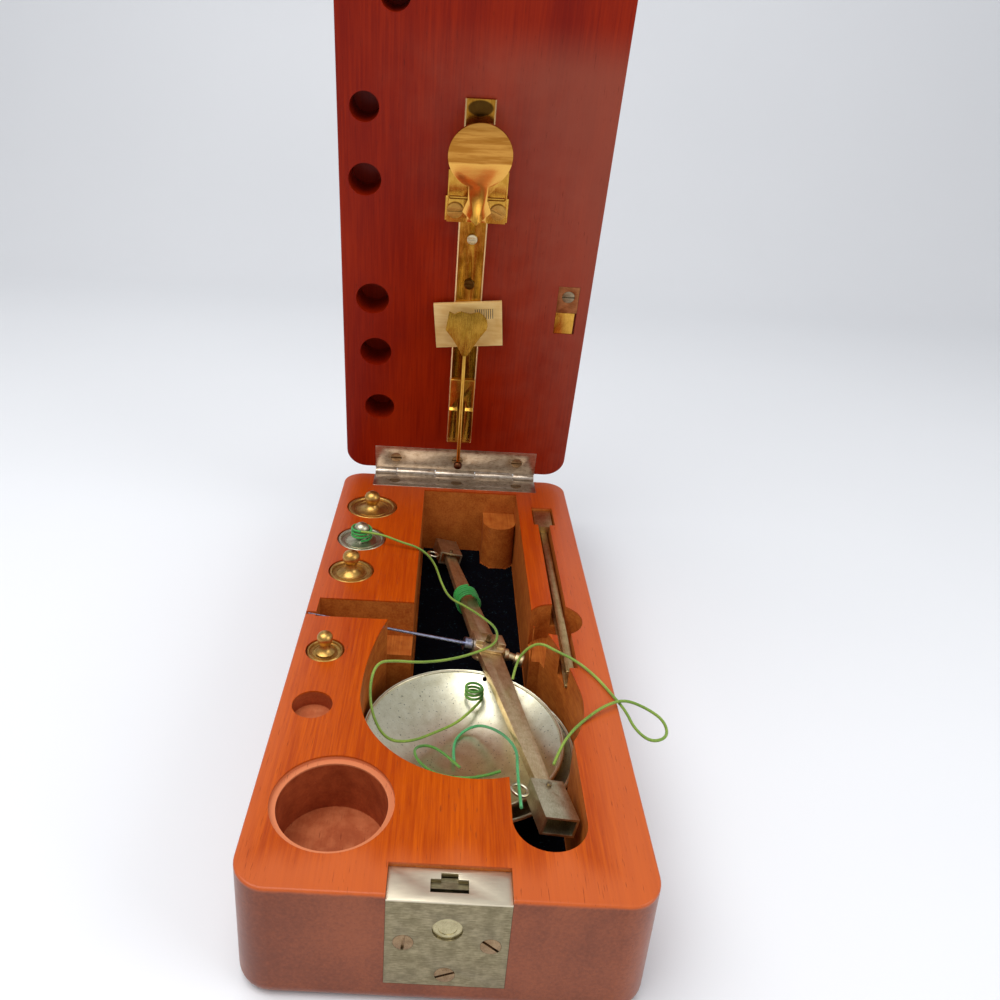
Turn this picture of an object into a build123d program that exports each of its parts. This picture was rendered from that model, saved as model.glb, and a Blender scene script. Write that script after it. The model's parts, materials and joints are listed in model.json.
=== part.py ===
"""Portable assay balance in a hinged mahogany case, shown open with its beam and pans stowed.

X runs to the right, Y from the lock to the hinge and Z up. The origin is the middle of the
underside of the case. Lengths are in millimetres and angles in degrees.
"""

import os
from math import asin, cos, pi, radians, sin, sqrt, tan

from build123d import *

os.makedirs("parts", exist_ok=True)

# Case and lid
case_width = 90.0
case_length = 200.0
case_height = 33.0
lid_height = 21.0
corner_radius = 8.0
outer_edge_radius = 3.5
rim_edge_radius = 0.6
lid_gap = 0.5
lid_opening = 76.75
running_gap = 0.05
seat_gap = 0.05
loose_gap = 0.3

# Well, pan pocket and beam slot, cut into the case from above
floor_height = 6.0
well_left = -12.0
well_right = 25.0
well_back = 86.8
pocket_x = 5.8
pocket_y = -37.5
pocket_radius = 30.0
shoulder_y = -4.4
shoulder_left = -19.6
shoulder_right = 28.0
shoulder_bulge = 3.6
beam_slot_left = 14.4
beam_slot_right = 31.4
beam_slot_front = -87.4
pointer_slot_left = -41.8
pointer_slot_back = 5.6
pointer_slot_floor = 20.0
rest_notch_length = 3.0
rest_notch_width = 1.5
rest_notch_depth = 0.85
lining_thickness = 0.8
post_radius = 6.4
post_setback = 7.4
post_height = 18.0

# Sockets for the five small weights: distance from the left side, distance from the hinge
# axis, radius, depth, and radius of the recess in the lid that takes the knob
socket_rows = [
    (13.5, 32.3, 9.6, 12.0, 5.8),
    (12.1, 57.3, 8.7, 11.0, 5.9),
    (11.0, 79.4, 7.6, 10.0, 6.0),
    (8.7, 123.1, 5.6, 8.0, 5.5),
    (8.8, 146.4, 5.3, 4.6, 4.8),
]
small_sockets = [(inset - case_width / 2, *sizes) for inset, *sizes in socket_rows]
knob_recess_depth = 12.0
large_socket_inset = 18.5
large_socket_x = large_socket_inset - case_width / 2
large_socket_reach = 178.5
large_socket_radius = 12.8
large_socket_depth = 15.0
large_socket_rim_radius = 14.3
large_socket_rim_depth = 1.2
large_recess_radius = 4.6

# Weights: socket number, height of the body, neck radius, knob radius and knob height
weight_sizes = [
    ("weight_first", 0, 11.9, 1.9, 3.0, 6.4),
    ("weight_second", 1, 10.9, 1.7, 2.7, 6.2),
    ("weight_third", 2, 9.9, 1.8, 2.9, 7.6),
    ("weight_fourth", 3, 7.9, 1.5, 2.3, 6.2),
]
weight_dish = 0.7

# Hinge
hinge_setback = 2.1
pin_radius = 0.8
knuckle_radius = 1.6
leaf_thickness = 1.0
leaf_width = 66.4
leaf_depth = 10.8
leaf_overhang = 0.3
knuckle_edges = [-33.2, -24.2, -8.2, 8.4, 24.4, 33.2]
knuckle_play = 0.15
leaf_screw_xs = [-24.6, 0.8, 25.4]
leaf_screw_reach = 7.4

# Wood screws
screw_radius = 2.2
screw_shank_radius = 0.8
screw_shank_length = 5.0
screw_slot_width = 0.6
screw_slot_depth = 0.5

# Lock
lock_x = 0.6
lock_width = 26.0
lock_plate_thickness = 1.2
lock_plate_set_down = 1.2
lock_plate_top = case_height - lock_plate_set_down
lock_plate_bottom = 6.6
lock_plate_depth = 8.0
button_z = 23.7
button_radius = 3.2
button_recess = 0.4
button_length = 2.2
button_stem_radius = 1.5
button_travel = 1.4
lock_screw_places = [(-9.1, 19.4), (9.2, 19.4), (0.0, 10.0)]
mortise_half_width = 7.5
mortise_back = 9.5
mortise_floor = 12.0
strike_slot_width = 8.0
strike_slot_front = 2.3
strike_slot_back = 5.5
strike_stem_width = 3.6
strike_stem_back = 7.0
catch_half_width = 4.0
catch_front = 5.8
catch_thickness = 1.0
catch_foot = 18.0
catch_nose_reach = 1.7
catch_nose_height = 1.2
lock_spring_thickness = 0.3
hook_half_width = 3.0
hook_front = 2.7
hook_thickness = 1.2
hook_nose_reach = 1.2
hook_nose_height = 1.1
strike_plate_width = 25.4
strike_plate_thickness = 1.5

# Tweezers
tweezer_inset = 10.7
tweezer_x = case_width / 2 - tweezer_inset
tweezer_head_width = 7.0
tweezer_head_length = 13.0
tweezer_head_height = 7.0
tweezer_head_front = 62.5
tweezer_tip_y = -23.0
tweezer_leg_width = 2.4
tweezer_leg_thickness = 0.9
tweezer_root_gap = 0.5
tweezer_tip_gap = 4.0
tweezer_z = 28.45
tweezer_bed_play = 0.5
tweezer_slot_floor = 24.6
tweezer_slot_left = tweezer_x - 2.4
tweezer_slot_right = tweezer_x + 1.9
finger_recess_x = tweezer_x - 2.1
finger_recess_y = 0.3
finger_recess_radius = 8.3
finger_recess_floor = 20.0

# Pillar and fittings on the inner face of the lid
pillar_x = 0.8
pillar_width = 10.0
pillar_thickness = 1.8
pillar_start = 18.0
pillar_end = 151.0
pillar_bevel = 0.5
pillar_screw_reaches = [105.0, 88.0]
bracket_x = 1.5
bracket_width = 21.0
bracket_start = 112.5
bracket_height = 8.4
bracket_thickness = 3.4
bracket_screw_offset = 7.2
cradle_height = 17.5
cradle_thickness = 1.0
cradle_width = 19.6
cradle_notch_radius = 2.6
cradle_notch_offset = 6.2
beam_passage = 3.4
guard_radius = 10.3
guard_reach = 136.0
guard_thickness = 1.2
guard_neck_width = 6.4
scale_width = 24.7
scale_offset = 0.7
scale_height = 17.8
scale_reach = 72.3
scale_thickness = 1.4
scale_turn = 5.5
scale_mark_pitch = 0.79
scale_mark_count = 9
scale_mark_depth = 0.2
scale_mark_offset = 5.8
scale_mark_top = 6.3
scale_mark_length = 4.0
scale_middle_mark_length = 7.0
fork_start = 19.0
fork_end = 38.2
fork_foot_length = 10.0
fork_prong_width = 3.2
fork_gap = 3.0
fork_rise = 2.0
fork_thickness = 0.8

# Plumb lever that hangs in front of the scale
plumb_x = 0.6
plumb_reach = 71.5
plumb_standoff = 6.4
plumb_pin_radius = 0.6
plumb_length = 53.5
plumb_rod_radius = 0.7
plumb_ball_radius = 1.65
plumb_shield_width = 14.8
plumb_shield_height = 17.5
plumb_shield_thickness = 0.8
plumb_ear_width = 1.0
plumb_ear_radius = 1.1
plumb_lug_radius = 1.5
plumb_lug_width = 2.0

# Small spring clip let into the lid
clip_inset = 8.0
clip_x = case_width / 2 - clip_inset
clip_start = 69.0
clip_end = 88.0
clip_width = 7.6
clip_thickness = 1.2
clip_split = 77.6
clip_screw_reach = 84.0

# Beam, laid flat and leaning in the well
beam_centre = (11.63, 2.18, 19.65)
beam_axis = (0.1806, -0.978, 0.1)
beam_cross = (0.9587, 0.1526, -0.2393)
beam_arm = 68.0
beam_thickness = 2.0
beam_mid_width = 8.0
beam_end_width = 3.8
boss_length = 11.0
boss_width = 10.0
boss_thickness = 4.4
boss_ridge_length = 6.0
boss_ridge_width = 2.6
boss_ridge_height = 1.4
stirrup_length = 13.5
stirrup_behind_pivot = 2.0
stirrup_width = 8.6
stirrup_height = 5.0
stirrup_wall = 0.6
pivot_radius = 0.6
knife_radius = 0.9
knife_length = 9.0
ring_radius = 2.1
ring_wire_radius = 0.4
pointer_length = 57.6
pointer_radius = 0.7
pointer_tip_radius = 0.2
pointer_lean = 3.4
stem_angle = 25.0
stem_length = 9.4
stem_radius = 1.3
stem_foot_radius = 2.0
bob_radius = 2.1
bob_length = 3.2

# Pans, the upper nested in the lower
pan_radius = 28.0
pan_depth = 8.4
pan_wall = 0.5
lower_pan_x = 7.4
lower_pan_y = -36.9
upper_pan_shift_x = -3.2
upper_pan_shift_y = 0.7
upper_pan_rise = 3.2
pan_hole_radius = 0.7
pan_hole_reach = 26.0

# Silk cords: turns on the knob and on the beam, and a small loose tangle by the beam
cord_diameter = 0.8
winding_pitch = 1.3
knob_turns = 3
beam_turns = 6
beam_winding_near = 28.2
beam_winding_gap = 0.35
tangle_turns = 3
tangle_radius = 2.5
tangle_pitch = 1.35
tangle_centre = (7.6, -17.4)
tangle_foot = 15.9

CENTRE, MIN, MAX = Align.CENTER, Align.MIN, Align.MAX

hinge_y = case_length / 2 + hinge_setback
hinge_z = case_height + lid_gap / 2
face = -lid_gap / 2
opening = radians(lid_opening)
lock_face_y = -case_length / 2
floor_top = floor_height + lining_thickness
post_x = well_right - post_radius
post_y = well_back - post_setback

# Local Y of both leaf planes runs away from the hinge pin along a leaf, and local Z stands
# off the face that the leaf is let into. The lid's plane carries the lid and all on it.
case_leaf_plane = Plane(origin=(0, hinge_y, hinge_z), x_dir=(-1, 0, 0), z_dir=(0, 0, 1))
lid_plane = Plane(
    origin=(0, hinge_y, hinge_z), x_dir=(1, 0, 0), z_dir=(0, -sin(opening), -cos(opening))
)
front_plane = Plane(origin=(lock_x, lock_face_y, 0), x_dir=(1, 0, 0), z_dir=(0, -1, 0))
beam_plane = Plane(
    origin=beam_centre, x_dir=beam_axis, z_dir=Vector(*beam_axis).cross(Vector(*beam_cross))
)

leaf_screw_points = [(x, leaf_screw_reach, face - leaf_thickness) for x in leaf_screw_xs]
case_screw_points = [(-x, y, z) for x, y, z in leaf_screw_points]
lock_screw_points = [(x, z, -lock_plate_thickness) for x, z in lock_screw_places]


def pilot_holes(points):
    """Holes below the points for the shanks of wood screws."""
    with Locations(*points):
        Cylinder(
            screw_shank_radius + seat_gap,
            screw_shank_length + seat_gap,
            align=(CENTRE, CENTRE, MAX),
            mode=Mode.SUBTRACT,
        )


def screw_seats(points, height):
    """Round holes above the points for the heads of wood screws."""
    with Locations(*points):
        Cylinder(
            screw_radius + seat_gap, height, align=(CENTRE, CENTRE, MIN), mode=Mode.SUBTRACT
        )


def wood_screws(points, head_height):
    """Slotted screws: each head stands on its point and its shank goes below it."""
    with Locations(*points):
        Cylinder(screw_radius, head_height, align=(CENTRE, CENTRE, MIN))
        Cylinder(screw_shank_radius, screw_shank_length, align=(CENTRE, CENTRE, MAX))
    with Locations(*[(x, y, z + head_height) for x, y, z in points]):
        Box(2.2 * screw_radius, screw_slot_width, 2 * screw_slot_depth, mode=Mode.SUBTRACT)


# Mahogany case, cut from one block
with BuildPart() as case_base:
    with BuildSketch(Plane.XY):
        RectangleRounded(case_width, case_length, corner_radius)
    extrude(amount=case_height)
    fillet(case_base.faces().sort_by(Axis.Z)[0].edges(), outer_edge_radius)
    fillet(case_base.faces().sort_by(Axis.Z)[-1].edges(), rim_edge_radius)
    with BuildSketch(Plane.XY.offset(floor_height)) as well_outline:
        with Locations(((well_left + well_right) / 2, (well_back + pocket_y) / 2)):
            Rectangle(well_right - well_left, well_back - pocket_y)
        with Locations((pocket_x, pocket_y)):
            Circle(pocket_radius)
        with BuildLine():
            left_side = (pocket_x - pocket_radius, pocket_y)
            right_side = (pocket_x + pocket_radius, pocket_y)
            middle_y = (shoulder_y + pocket_y) / 2
            Line(right_side, left_side)
            ThreePointArc(
                left_side, (shoulder_left - shoulder_bulge, middle_y), (shoulder_left, shoulder_y)
            )
            Line((shoulder_left, shoulder_y), (shoulder_right, shoulder_y))
            ThreePointArc(
                (shoulder_right, shoulder_y),
                (shoulder_right + shoulder_bulge + 1.6, middle_y),
                right_side,
            )
        make_face()
        slot_end_radius = (beam_slot_right - beam_slot_left) / 2
        slot_end_y = beam_slot_front + slot_end_radius
        with Locations(((beam_slot_left + beam_slot_right) / 2, slot_end_y)):
            Circle(slot_end_radius)
        with Locations(((beam_slot_left + beam_slot_right) / 2, (slot_end_y + pocket_y) / 2)):
            Rectangle(beam_slot_right - beam_slot_left, pocket_y - slot_end_y)
    extrude(amount=case_height, mode=Mode.SUBTRACT)
    # Crosswise slot for the pointer, with a shallow notch that its tip rests in
    with Locations((pointer_slot_left, shoulder_y, pointer_slot_floor)):
        Box(
            well_left - pointer_slot_left + 1.0,
            pointer_slot_back - shoulder_y,
            case_height,
            align=(MIN, MIN, MIN),
            mode=Mode.SUBTRACT,
        )
    with Locations((pointer_slot_left, shoulder_y + rest_notch_width, case_height)):
        Box(
            2 * rest_notch_length,
            rest_notch_width,
            2 * rest_notch_depth,
            mode=Mode.SUBTRACT,
        )
    # Sockets for the weights
    for x, reach, radius, depth, knob_recess in small_sockets:
        with Locations((x, hinge_y - reach, case_height)):
            Cylinder(radius, 2 * depth, mode=Mode.SUBTRACT)
    with Locations((large_socket_x, hinge_y - large_socket_reach, case_height)):
        Cylinder(large_socket_radius, 2 * large_socket_depth, mode=Mode.SUBTRACT)
        Cylinder(large_socket_rim_radius, 2 * large_socket_rim_depth, mode=Mode.SUBTRACT)
    # Bed, slot and finger recess for the tweezers
    with Locations((tweezer_x, tweezer_head_front - tweezer_bed_play, tweezer_slot_floor)):
        Box(
            tweezer_head_width + 2 * tweezer_bed_play,
            tweezer_head_length + 2 * tweezer_bed_play,
            case_height,
            align=(CENTRE, MIN, MIN),
            mode=Mode.SUBTRACT,
        )
    with Locations((tweezer_slot_left, tweezer_tip_y - tweezer_bed_play, tweezer_slot_floor)):
        Box(
            tweezer_slot_right - tweezer_slot_left,
            tweezer_head_front - tweezer_tip_y,
            case_height,
            align=(MIN, MIN, MIN),
            mode=Mode.SUBTRACT,
        )
    with Locations((finger_recess_x, finger_recess_y, finger_recess_floor)):
        Cylinder(
            finger_recess_radius,
            case_height,
            align=(CENTRE, CENTRE, MIN),
            mode=Mode.SUBTRACT,
        )
    # Rebates for the hinge leaf and the lock plate, and the mortise behind the plate
    with Locations((0, hinge_y - hinge_setback - leaf_depth - seat_gap, case_height)):
        Box(
            leaf_width + 2 * seat_gap,
            case_width,
            2 * leaf_thickness,
            align=(CENTRE, MIN, CENTRE),
            mode=Mode.SUBTRACT,
        )
    with Locations((lock_x, lock_face_y, lock_plate_top - lock_plate_thickness)):
        Box(
            lock_width + 2 * seat_gap,
            2 * (lock_plate_depth + seat_gap),
            case_height,
            align=(CENTRE, CENTRE, MIN),
            mode=Mode.SUBTRACT,
        )
    with Locations((lock_x, lock_face_y, lock_plate_bottom - seat_gap)):
        Box(
            lock_width + 2 * seat_gap,
            2 * lock_plate_thickness,
            case_height,
            align=(CENTRE, CENTRE, MIN),
            mode=Mode.SUBTRACT,
        )
    with Locations((lock_x, lock_face_y, mortise_floor)):
        Box(
            2 * mortise_half_width,
            2 * mortise_back,
            lock_plate_top - lock_plate_thickness - mortise_floor,
            align=(CENTRE, CENTRE, MIN),
            mode=Mode.SUBTRACT,
        )
    with Locations(case_leaf_plane):
        pilot_holes(case_screw_points)
    with Locations(front_plane):
        pilot_holes(lock_screw_points)
case_base.part.label = "case_base"
export_step(case_base.part, "parts/case_base.step")

# Velvet on the floor of the well, cut round the corner post
with BuildPart() as well_lining:
    with BuildSketch(Plane.XY.offset(floor_height)):
        add(well_outline.sketch)
        offset(amount=-seat_gap)
        with Locations((post_x, post_y)):
            Circle(post_radius + loose_gap, mode=Mode.SUBTRACT)
        with Locations((post_x, (post_y + well_back) / 2)):
            Rectangle(2 * (post_radius + loose_gap), well_back - post_y, mode=Mode.SUBTRACT)
    extrude(amount=lining_thickness)
well_lining.part.label = "well_lining"
export_step(well_lining.part, "parts/well_lining.step")

# Round-nosed mahogany post glued into the far right corner of the well
with BuildPart() as corner_post:
    with BuildSketch(Plane.XY.offset(floor_height)):
        with Locations((post_x, post_y)):
            Circle(post_radius)
        with Locations((post_x, (post_y + well_back) / 2)):
            Rectangle(2 * post_radius, well_back - post_y)
    extrude(amount=post_height)
corner_post.part.label = "corner_post"
export_step(corner_post.part, "parts/corner_post.step")


# Nickel hinge: one leaf let into the case, one into the lid, and the pin
def hinge_leaf(spans, screw_points):
    """Flat leaf with a knuckle over each span of x, drilled for the pin and the screws."""
    with Locations((0, hinge_setback - leaf_overhang, face)):
        Box(leaf_width, leaf_depth + leaf_overhang, leaf_thickness, align=(CENTRE, MIN, MAX))
    for start, end in spans:
        with Locations(((start + end) / 2, 0, 0)):
            Cylinder(knuckle_radius, end - start, rotation=(0, 90, 0))
        with Locations(((start + end) / 2, 0, face)):
            Box(end - start, hinge_setback, leaf_thickness, align=(CENTRE, MIN, MAX))
    Cylinder(
        pin_radius + running_gap, leaf_width + leaf_depth, rotation=(0, 90, 0), mode=Mode.SUBTRACT
    )
    screw_seats(screw_points, leaf_thickness)


knuckle_spans = [
    (start + knuckle_play, end - knuckle_play)
    for start, end in zip(knuckle_edges, knuckle_edges[1:])
]
with BuildPart(case_leaf_plane) as hinge_leaf_case:
    hinge_leaf([(-end, -start) for start, end in knuckle_spans[1::2]], case_screw_points)
hinge_leaf_case.part.label = "hinge_leaf_case"
export_step(hinge_leaf_case.part, "parts/hinge_leaf_case.step")

with BuildPart(lid_plane) as hinge_leaf_lid:
    hinge_leaf(knuckle_spans[::2], leaf_screw_points)
hinge_leaf_lid.part.label = "hinge_leaf_lid"
export_step(hinge_leaf_lid.part, "parts/hinge_leaf_lid.step")

with BuildPart(case_leaf_plane) as hinge_pin:
    Cylinder(pin_radius, leaf_width, rotation=(0, 90, 0))
hinge_pin.part.label = "hinge_pin"
export_step(hinge_pin.part, "parts/hinge_pin.step")

with BuildPart(case_leaf_plane) as hinge_screws_case:
    wood_screws(case_screw_points, leaf_thickness)
hinge_screws_case.part.label = "hinge_screws_case"
export_step(hinge_screws_case.part, "parts/hinge_screws_case.step")

with BuildPart(lid_plane) as hinge_screws_lid:
    wood_screws(leaf_screw_points, leaf_thickness)
hinge_screws_lid.part.label = "hinge_screws_lid"
export_step(hinge_screws_lid.part, "parts/hinge_screws_lid.step")

# Lock plate bent over the front edge, its upper leg slotted for the hook of the lid
with BuildPart() as lock_plate:
    with Locations((lock_x, lock_face_y, lock_plate_top)):
        Box(lock_width, lock_plate_depth, lock_plate_thickness, align=(CENTRE, MIN, MAX))
    with Locations((lock_x, lock_face_y, lock_plate_bottom)):
        Box(
            lock_width,
            lock_plate_thickness,
            lock_plate_top - lock_plate_bottom,
            align=(CENTRE, MIN, MIN),
        )
    with Locations((lock_x, lock_face_y + strike_slot_front, lock_plate_top)):
        Box(
            strike_slot_width,
            strike_slot_back - strike_slot_front,
            3 * lock_plate_thickness,
            align=(CENTRE, MIN, CENTRE),
            mode=Mode.SUBTRACT,
        )
        Box(
            strike_stem_width,
            strike_stem_back - strike_slot_front,
            3 * lock_plate_thickness,
            align=(CENTRE, MIN, CENTRE),
            mode=Mode.SUBTRACT,
        )
    with Locations(front_plane):
        screw_seats(lock_screw_points, lock_plate_thickness)
        with Locations((0, button_z, 0)):
            Cylinder(button_radius + running_gap, 3 * lock_plate_thickness, mode=Mode.SUBTRACT)
lock_plate.part.label = "lock_plate"
export_step(lock_plate.part, "parts/lock_plate.step")

with BuildPart(front_plane) as lock_screws:
    wood_screws(lock_screw_points, lock_plate_thickness)
lock_screws.part.label = "lock_screws"
export_step(lock_screws.part, "parts/lock_screws.step")

# Push button with its retaining flange and stem, and the catch that it drives
catch_y = lock_face_y + catch_front
with BuildPart(front_plane) as lock_button:
    with Locations((0, button_z, -button_recess)):
        Cylinder(button_radius, button_length, align=(CENTRE, CENTRE, MAX))
        Cylinder(button_stem_radius, catch_front - button_recess, align=(CENTRE, CENTRE, MAX))
    with Locations((0, button_z, -lock_plate_thickness - running_gap)):
        Cylinder(1.3 * button_radius, lock_plate_thickness / 2, align=(CENTRE, CENTRE, MAX))
    with Locations((0, button_z, -button_recess)):
        Cylinder(0.62 * button_radius, button_recess, mode=Mode.SUBTRACT)
lock_button.part.label = "lock_button"
export_step(lock_button.part, "parts/lock_button.step")

catch_top = lock_plate_top - lock_plate_thickness - running_gap
with BuildPart() as lock_catch:
    with Locations((lock_x, catch_y, catch_foot)):
        Box(
            2 * catch_half_width,
            catch_thickness,
            catch_top - catch_foot,
            align=(CENTRE, MIN, MIN),
        )
    with Locations((lock_x, catch_y, catch_top)):
        Box(2 * catch_half_width, catch_nose_reach, catch_nose_height, align=(CENTRE, MAX, MAX))
lock_catch.part.label = "lock_catch"
export_step(lock_catch.part, "parts/lock_catch.step")

# Bowed leaf spring that pushes the catch towards the front
spring_front = catch_y + catch_thickness + running_gap + lock_spring_thickness / 2
spring_back = lock_face_y + mortise_back - seat_gap - lock_spring_thickness / 2
with BuildPart() as lock_spring:
    with BuildSketch(Plane.YZ.offset(lock_x - hook_half_width)):
        with BuildLine() as bow:
            ThreePointArc(
                (spring_back, catch_foot - 2.0),
                (spring_front, (catch_foot + catch_top) / 2 - 2.0),
                (spring_back, catch_top - 2.0),
            )
            offset(amount=lock_spring_thickness / 2)
        make_face()
    extrude(amount=2 * hook_half_width)
lock_spring.part.label = "lock_spring"
export_step(lock_spring.part, "parts/lock_spring.step")

# Mahogany lid, with recesses for the knobs of the weights
pillar_screw_points = [(pillar_x, reach, face + pillar_thickness) for reach in pillar_screw_reaches]
bracket_screw_points = [
    (bracket_x + side * bracket_screw_offset, bracket_start + bracket_height / 2, 0)
    for side in (-1, 1)
]
strike_reach = hinge_setback + case_length
with BuildPart(lid_plane) as lid:
    with BuildSketch(lid_plane.offset(face)):
        with Locations((0, hinge_setback + case_length / 2)):
            RectangleRounded(case_width, case_length, corner_radius)
    extrude(amount=-lid_height)
    off_the_face = Axis(lid_plane.origin, lid_plane.z_dir)
    fillet(lid.faces().sort_by(off_the_face)[0].edges(), outer_edge_radius)
    fillet(lid.faces().sort_by(off_the_face)[-1].edges(), rim_edge_radius)
    for x, reach, radius, depth, knob_recess in small_sockets:
        with Locations((x, reach, face)):
            Cylinder(knob_recess, 2 * knob_recess_depth, mode=Mode.SUBTRACT)
    with Locations((large_socket_x, large_socket_reach, face)):
        Cylinder(large_recess_radius, 2 * knob_recess_depth, mode=Mode.SUBTRACT)
    with Locations((0, 0, face)):
        Box(
            leaf_width + 2 * seat_gap,
            2 * (hinge_setback + leaf_depth + seat_gap),
            2 * leaf_thickness,
            mode=Mode.SUBTRACT,
        )
    with Locations((clip_x, clip_start - seat_gap, face)):
        Box(
            clip_width + 2 * seat_gap,
            clip_end - clip_start + 2 * seat_gap,
            2 * clip_thickness,
            align=(CENTRE, MIN, CENTRE),
            mode=Mode.SUBTRACT,
        )
    pilot_holes(leaf_screw_points)
    pilot_holes([(clip_x, clip_screw_reach, face - clip_thickness)])
    pilot_holes([(pillar_x, reach, face) for reach in pillar_screw_reaches])
lid.part.label = "lid"
export_step(lid.part, "parts/lid.step")

# Strike plate and hook at the free end of the lid
with BuildPart(lid_plane) as strike_plate:
    with Locations((lock_x, strike_reach - loose_gap, face)):
        Box(
            strike_plate_width,
            lock_plate_depth - loose_gap,
            strike_plate_thickness,
            align=(CENTRE, MAX, MIN),
        )
strike_plate.part.label = "strike_plate"
export_step(strike_plate.part, "parts/strike_plate.step")

hook_root = face + strike_plate_thickness
hook_tip = hinge_z - (catch_top - catch_nose_height - 2 * running_gap) + hook_nose_height
with BuildPart(lid_plane) as strike_hook:
    with Locations((lock_x, strike_reach - hook_front, hook_root)):
        Box(
            2 * hook_half_width,
            hook_thickness,
            hook_tip - hook_root,
            align=(CENTRE, MAX, MIN),
        )
    with Locations((lock_x, strike_reach - hook_front - hook_thickness, hook_tip)):
        Box(2 * hook_half_width, hook_nose_reach, hook_nose_height, align=(CENTRE, MAX, MAX))
strike_hook.part.label = "strike_hook"
export_step(strike_hook.part, "parts/strike_hook.step")

# Brass pillar strip along the middle of the lid
strip_top = face + pillar_thickness
with BuildPart(lid_plane) as pillar_strip:
    with Locations((pillar_x, pillar_start, face)):
        Box(
            pillar_width,
            pillar_end - pillar_start,
            pillar_thickness,
            align=(CENTRE, MIN, MIN),
        )
    upper_face = pillar_strip.faces().sort_by(off_the_face)[-1]
    chamfer(upper_face.edges().filter_by(Axis(lid_plane.origin, lid_plane.y_dir)), pillar_bevel)
    with Locations(*[(pillar_x, reach, face) for reach in pillar_screw_reaches]):
        Cylinder(screw_shank_radius + seat_gap, 4 * pillar_thickness, mode=Mode.SUBTRACT)
pillar_strip.part.label = "pillar_strip"
export_step(pillar_strip.part, "parts/pillar_strip.step")

with BuildPart(lid_plane) as pillar_screws:
    with Locations(*pillar_screw_points):
        Cylinder(0.8 * screw_radius, pillar_thickness / 2, align=(CENTRE, CENTRE, MIN))
        Cylinder(
            screw_shank_radius,
            pillar_thickness + screw_shank_length - seat_gap,
            align=(CENTRE, CENTRE, MAX),
        )
    with Locations(*[(x, y, z + pillar_thickness / 2) for x, y, z in pillar_screw_points]):
        Box(2 * screw_radius, screw_slot_width, screw_slot_depth, mode=Mode.SUBTRACT)
pillar_screws.part.label = "pillar_screws"
export_step(pillar_screws.part, "parts/pillar_screws.step")

# Bearing bracket: a block across the strip, a cradle plate with two notches for the knife
# edge, and a round guard plate in front, with the passage for the beam between them
bracket_top = strip_top + bracket_thickness
cradle_top = bracket_top + cradle_thickness
guard_back = cradle_top + beam_passage
with BuildPart(lid_plane) as bearing_bracket:
    with Locations((bracket_x, bracket_start, strip_top)):
        Box(bracket_width, bracket_height, bracket_thickness, align=(CENTRE, MIN, MIN))
bearing_bracket.part.label = "bearing_bracket"
export_step(bearing_bracket.part, "parts/bearing_bracket.step")

with BuildPart(lid_plane) as cradle_plate:
    with BuildSketch(lid_plane.offset(bracket_top)):
        with Locations((bracket_x, bracket_start)):
            Rectangle(cradle_width, cradle_height, align=(CENTRE, MIN))
        with Locations(
            (bracket_x - cradle_notch_offset, bracket_start + bracket_height),
            (bracket_x + cradle_notch_offset, bracket_start + bracket_height),
        ):
            SlotOverall(2 * cradle_notch_radius + 1.2, 1.2, mode=Mode.SUBTRACT)
    extrude(amount=cradle_thickness)
cradle_plate.part.label = "cradle_plate"
export_step(cradle_plate.part, "parts/cradle_plate.step")

with BuildPart(lid_plane) as guard_plate:
    with BuildSketch(lid_plane.offset(guard_back)):
        with Locations((bracket_x, guard_reach)):
            Circle(guard_radius)
        with BuildLine():
            foot_y = bracket_start + 0.6
            waist_y = bracket_start + bracket_height + 1.0
            half_neck = guard_neck_width / 2
            Polyline(
                (bracket_x - half_neck, guard_reach),
                (bracket_x - half_neck, waist_y),
                (bracket_x - 1.5 * half_neck, waist_y - 4.0),
                (bracket_x, foot_y),
                (bracket_x + 1.5 * half_neck, waist_y - 4.0),
                (bracket_x + half_neck, waist_y),
                (bracket_x + half_neck, guard_reach),
                close=True,
            )
        make_face()
    extrude(amount=guard_thickness)
    # Foot block that stands the guard off the cradle plate
    with BuildSketch(lid_plane.offset(cradle_top)):
        with Locations((bracket_x, bracket_start + 3.4)):
            Rectangle(guard_neck_width, 4.0)
    extrude(amount=beam_passage)
guard_plate.part.label = "guard_plate"
export_step(guard_plate.part, "parts/guard_plate.step")

with BuildPart(lid_plane) as bracket_screws:
    with Locations(*[(x, y, cradle_top) for x, y, z in bracket_screw_points]):
        Cylinder(1.2 * screw_radius, cradle_thickness, align=(CENTRE, CENTRE, MIN))
    with Locations(*[(x, y, cradle_top + cradle_thickness) for x, y, z in bracket_screw_points]):
        Box(4 * screw_radius, screw_slot_width, 2 * screw_slot_depth, mode=Mode.SUBTRACT)
bracket_screws.part.label = "bracket_screws"
export_step(bracket_screws.part, "parts/bracket_screws.step")

# Ivory scale plate, set a little askew on the strip, with engraved divisions
scale_plane = Plane(
    origin=lid_plane.from_local_coords(Vector(pillar_x + scale_offset, scale_reach, strip_top)),
    x_dir=lid_plane.x_dir.rotate(Axis((0, 0, 0), lid_plane.z_dir), scale_turn),
    z_dir=lid_plane.z_dir,
)
with BuildPart(scale_plane) as scale_plate:
    Box(scale_width, scale_height, scale_thickness, align=(CENTRE, CENTRE, MIN))
    for number in range(scale_mark_count):
        place = number - scale_mark_count // 2
        length = scale_mark_length if place else scale_middle_mark_length
        mark_x = scale_mark_offset + place * scale_mark_pitch
        with Locations((mark_x, scale_mark_top, scale_thickness)):
            Box(
                0.25, length, 2 * scale_mark_depth, align=(CENTRE, MAX, CENTRE), mode=Mode.SUBTRACT
            )
scale_plate.part.label = "scale_plate"
export_step(scale_plate.part, "parts/scale_plate.step")

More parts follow.
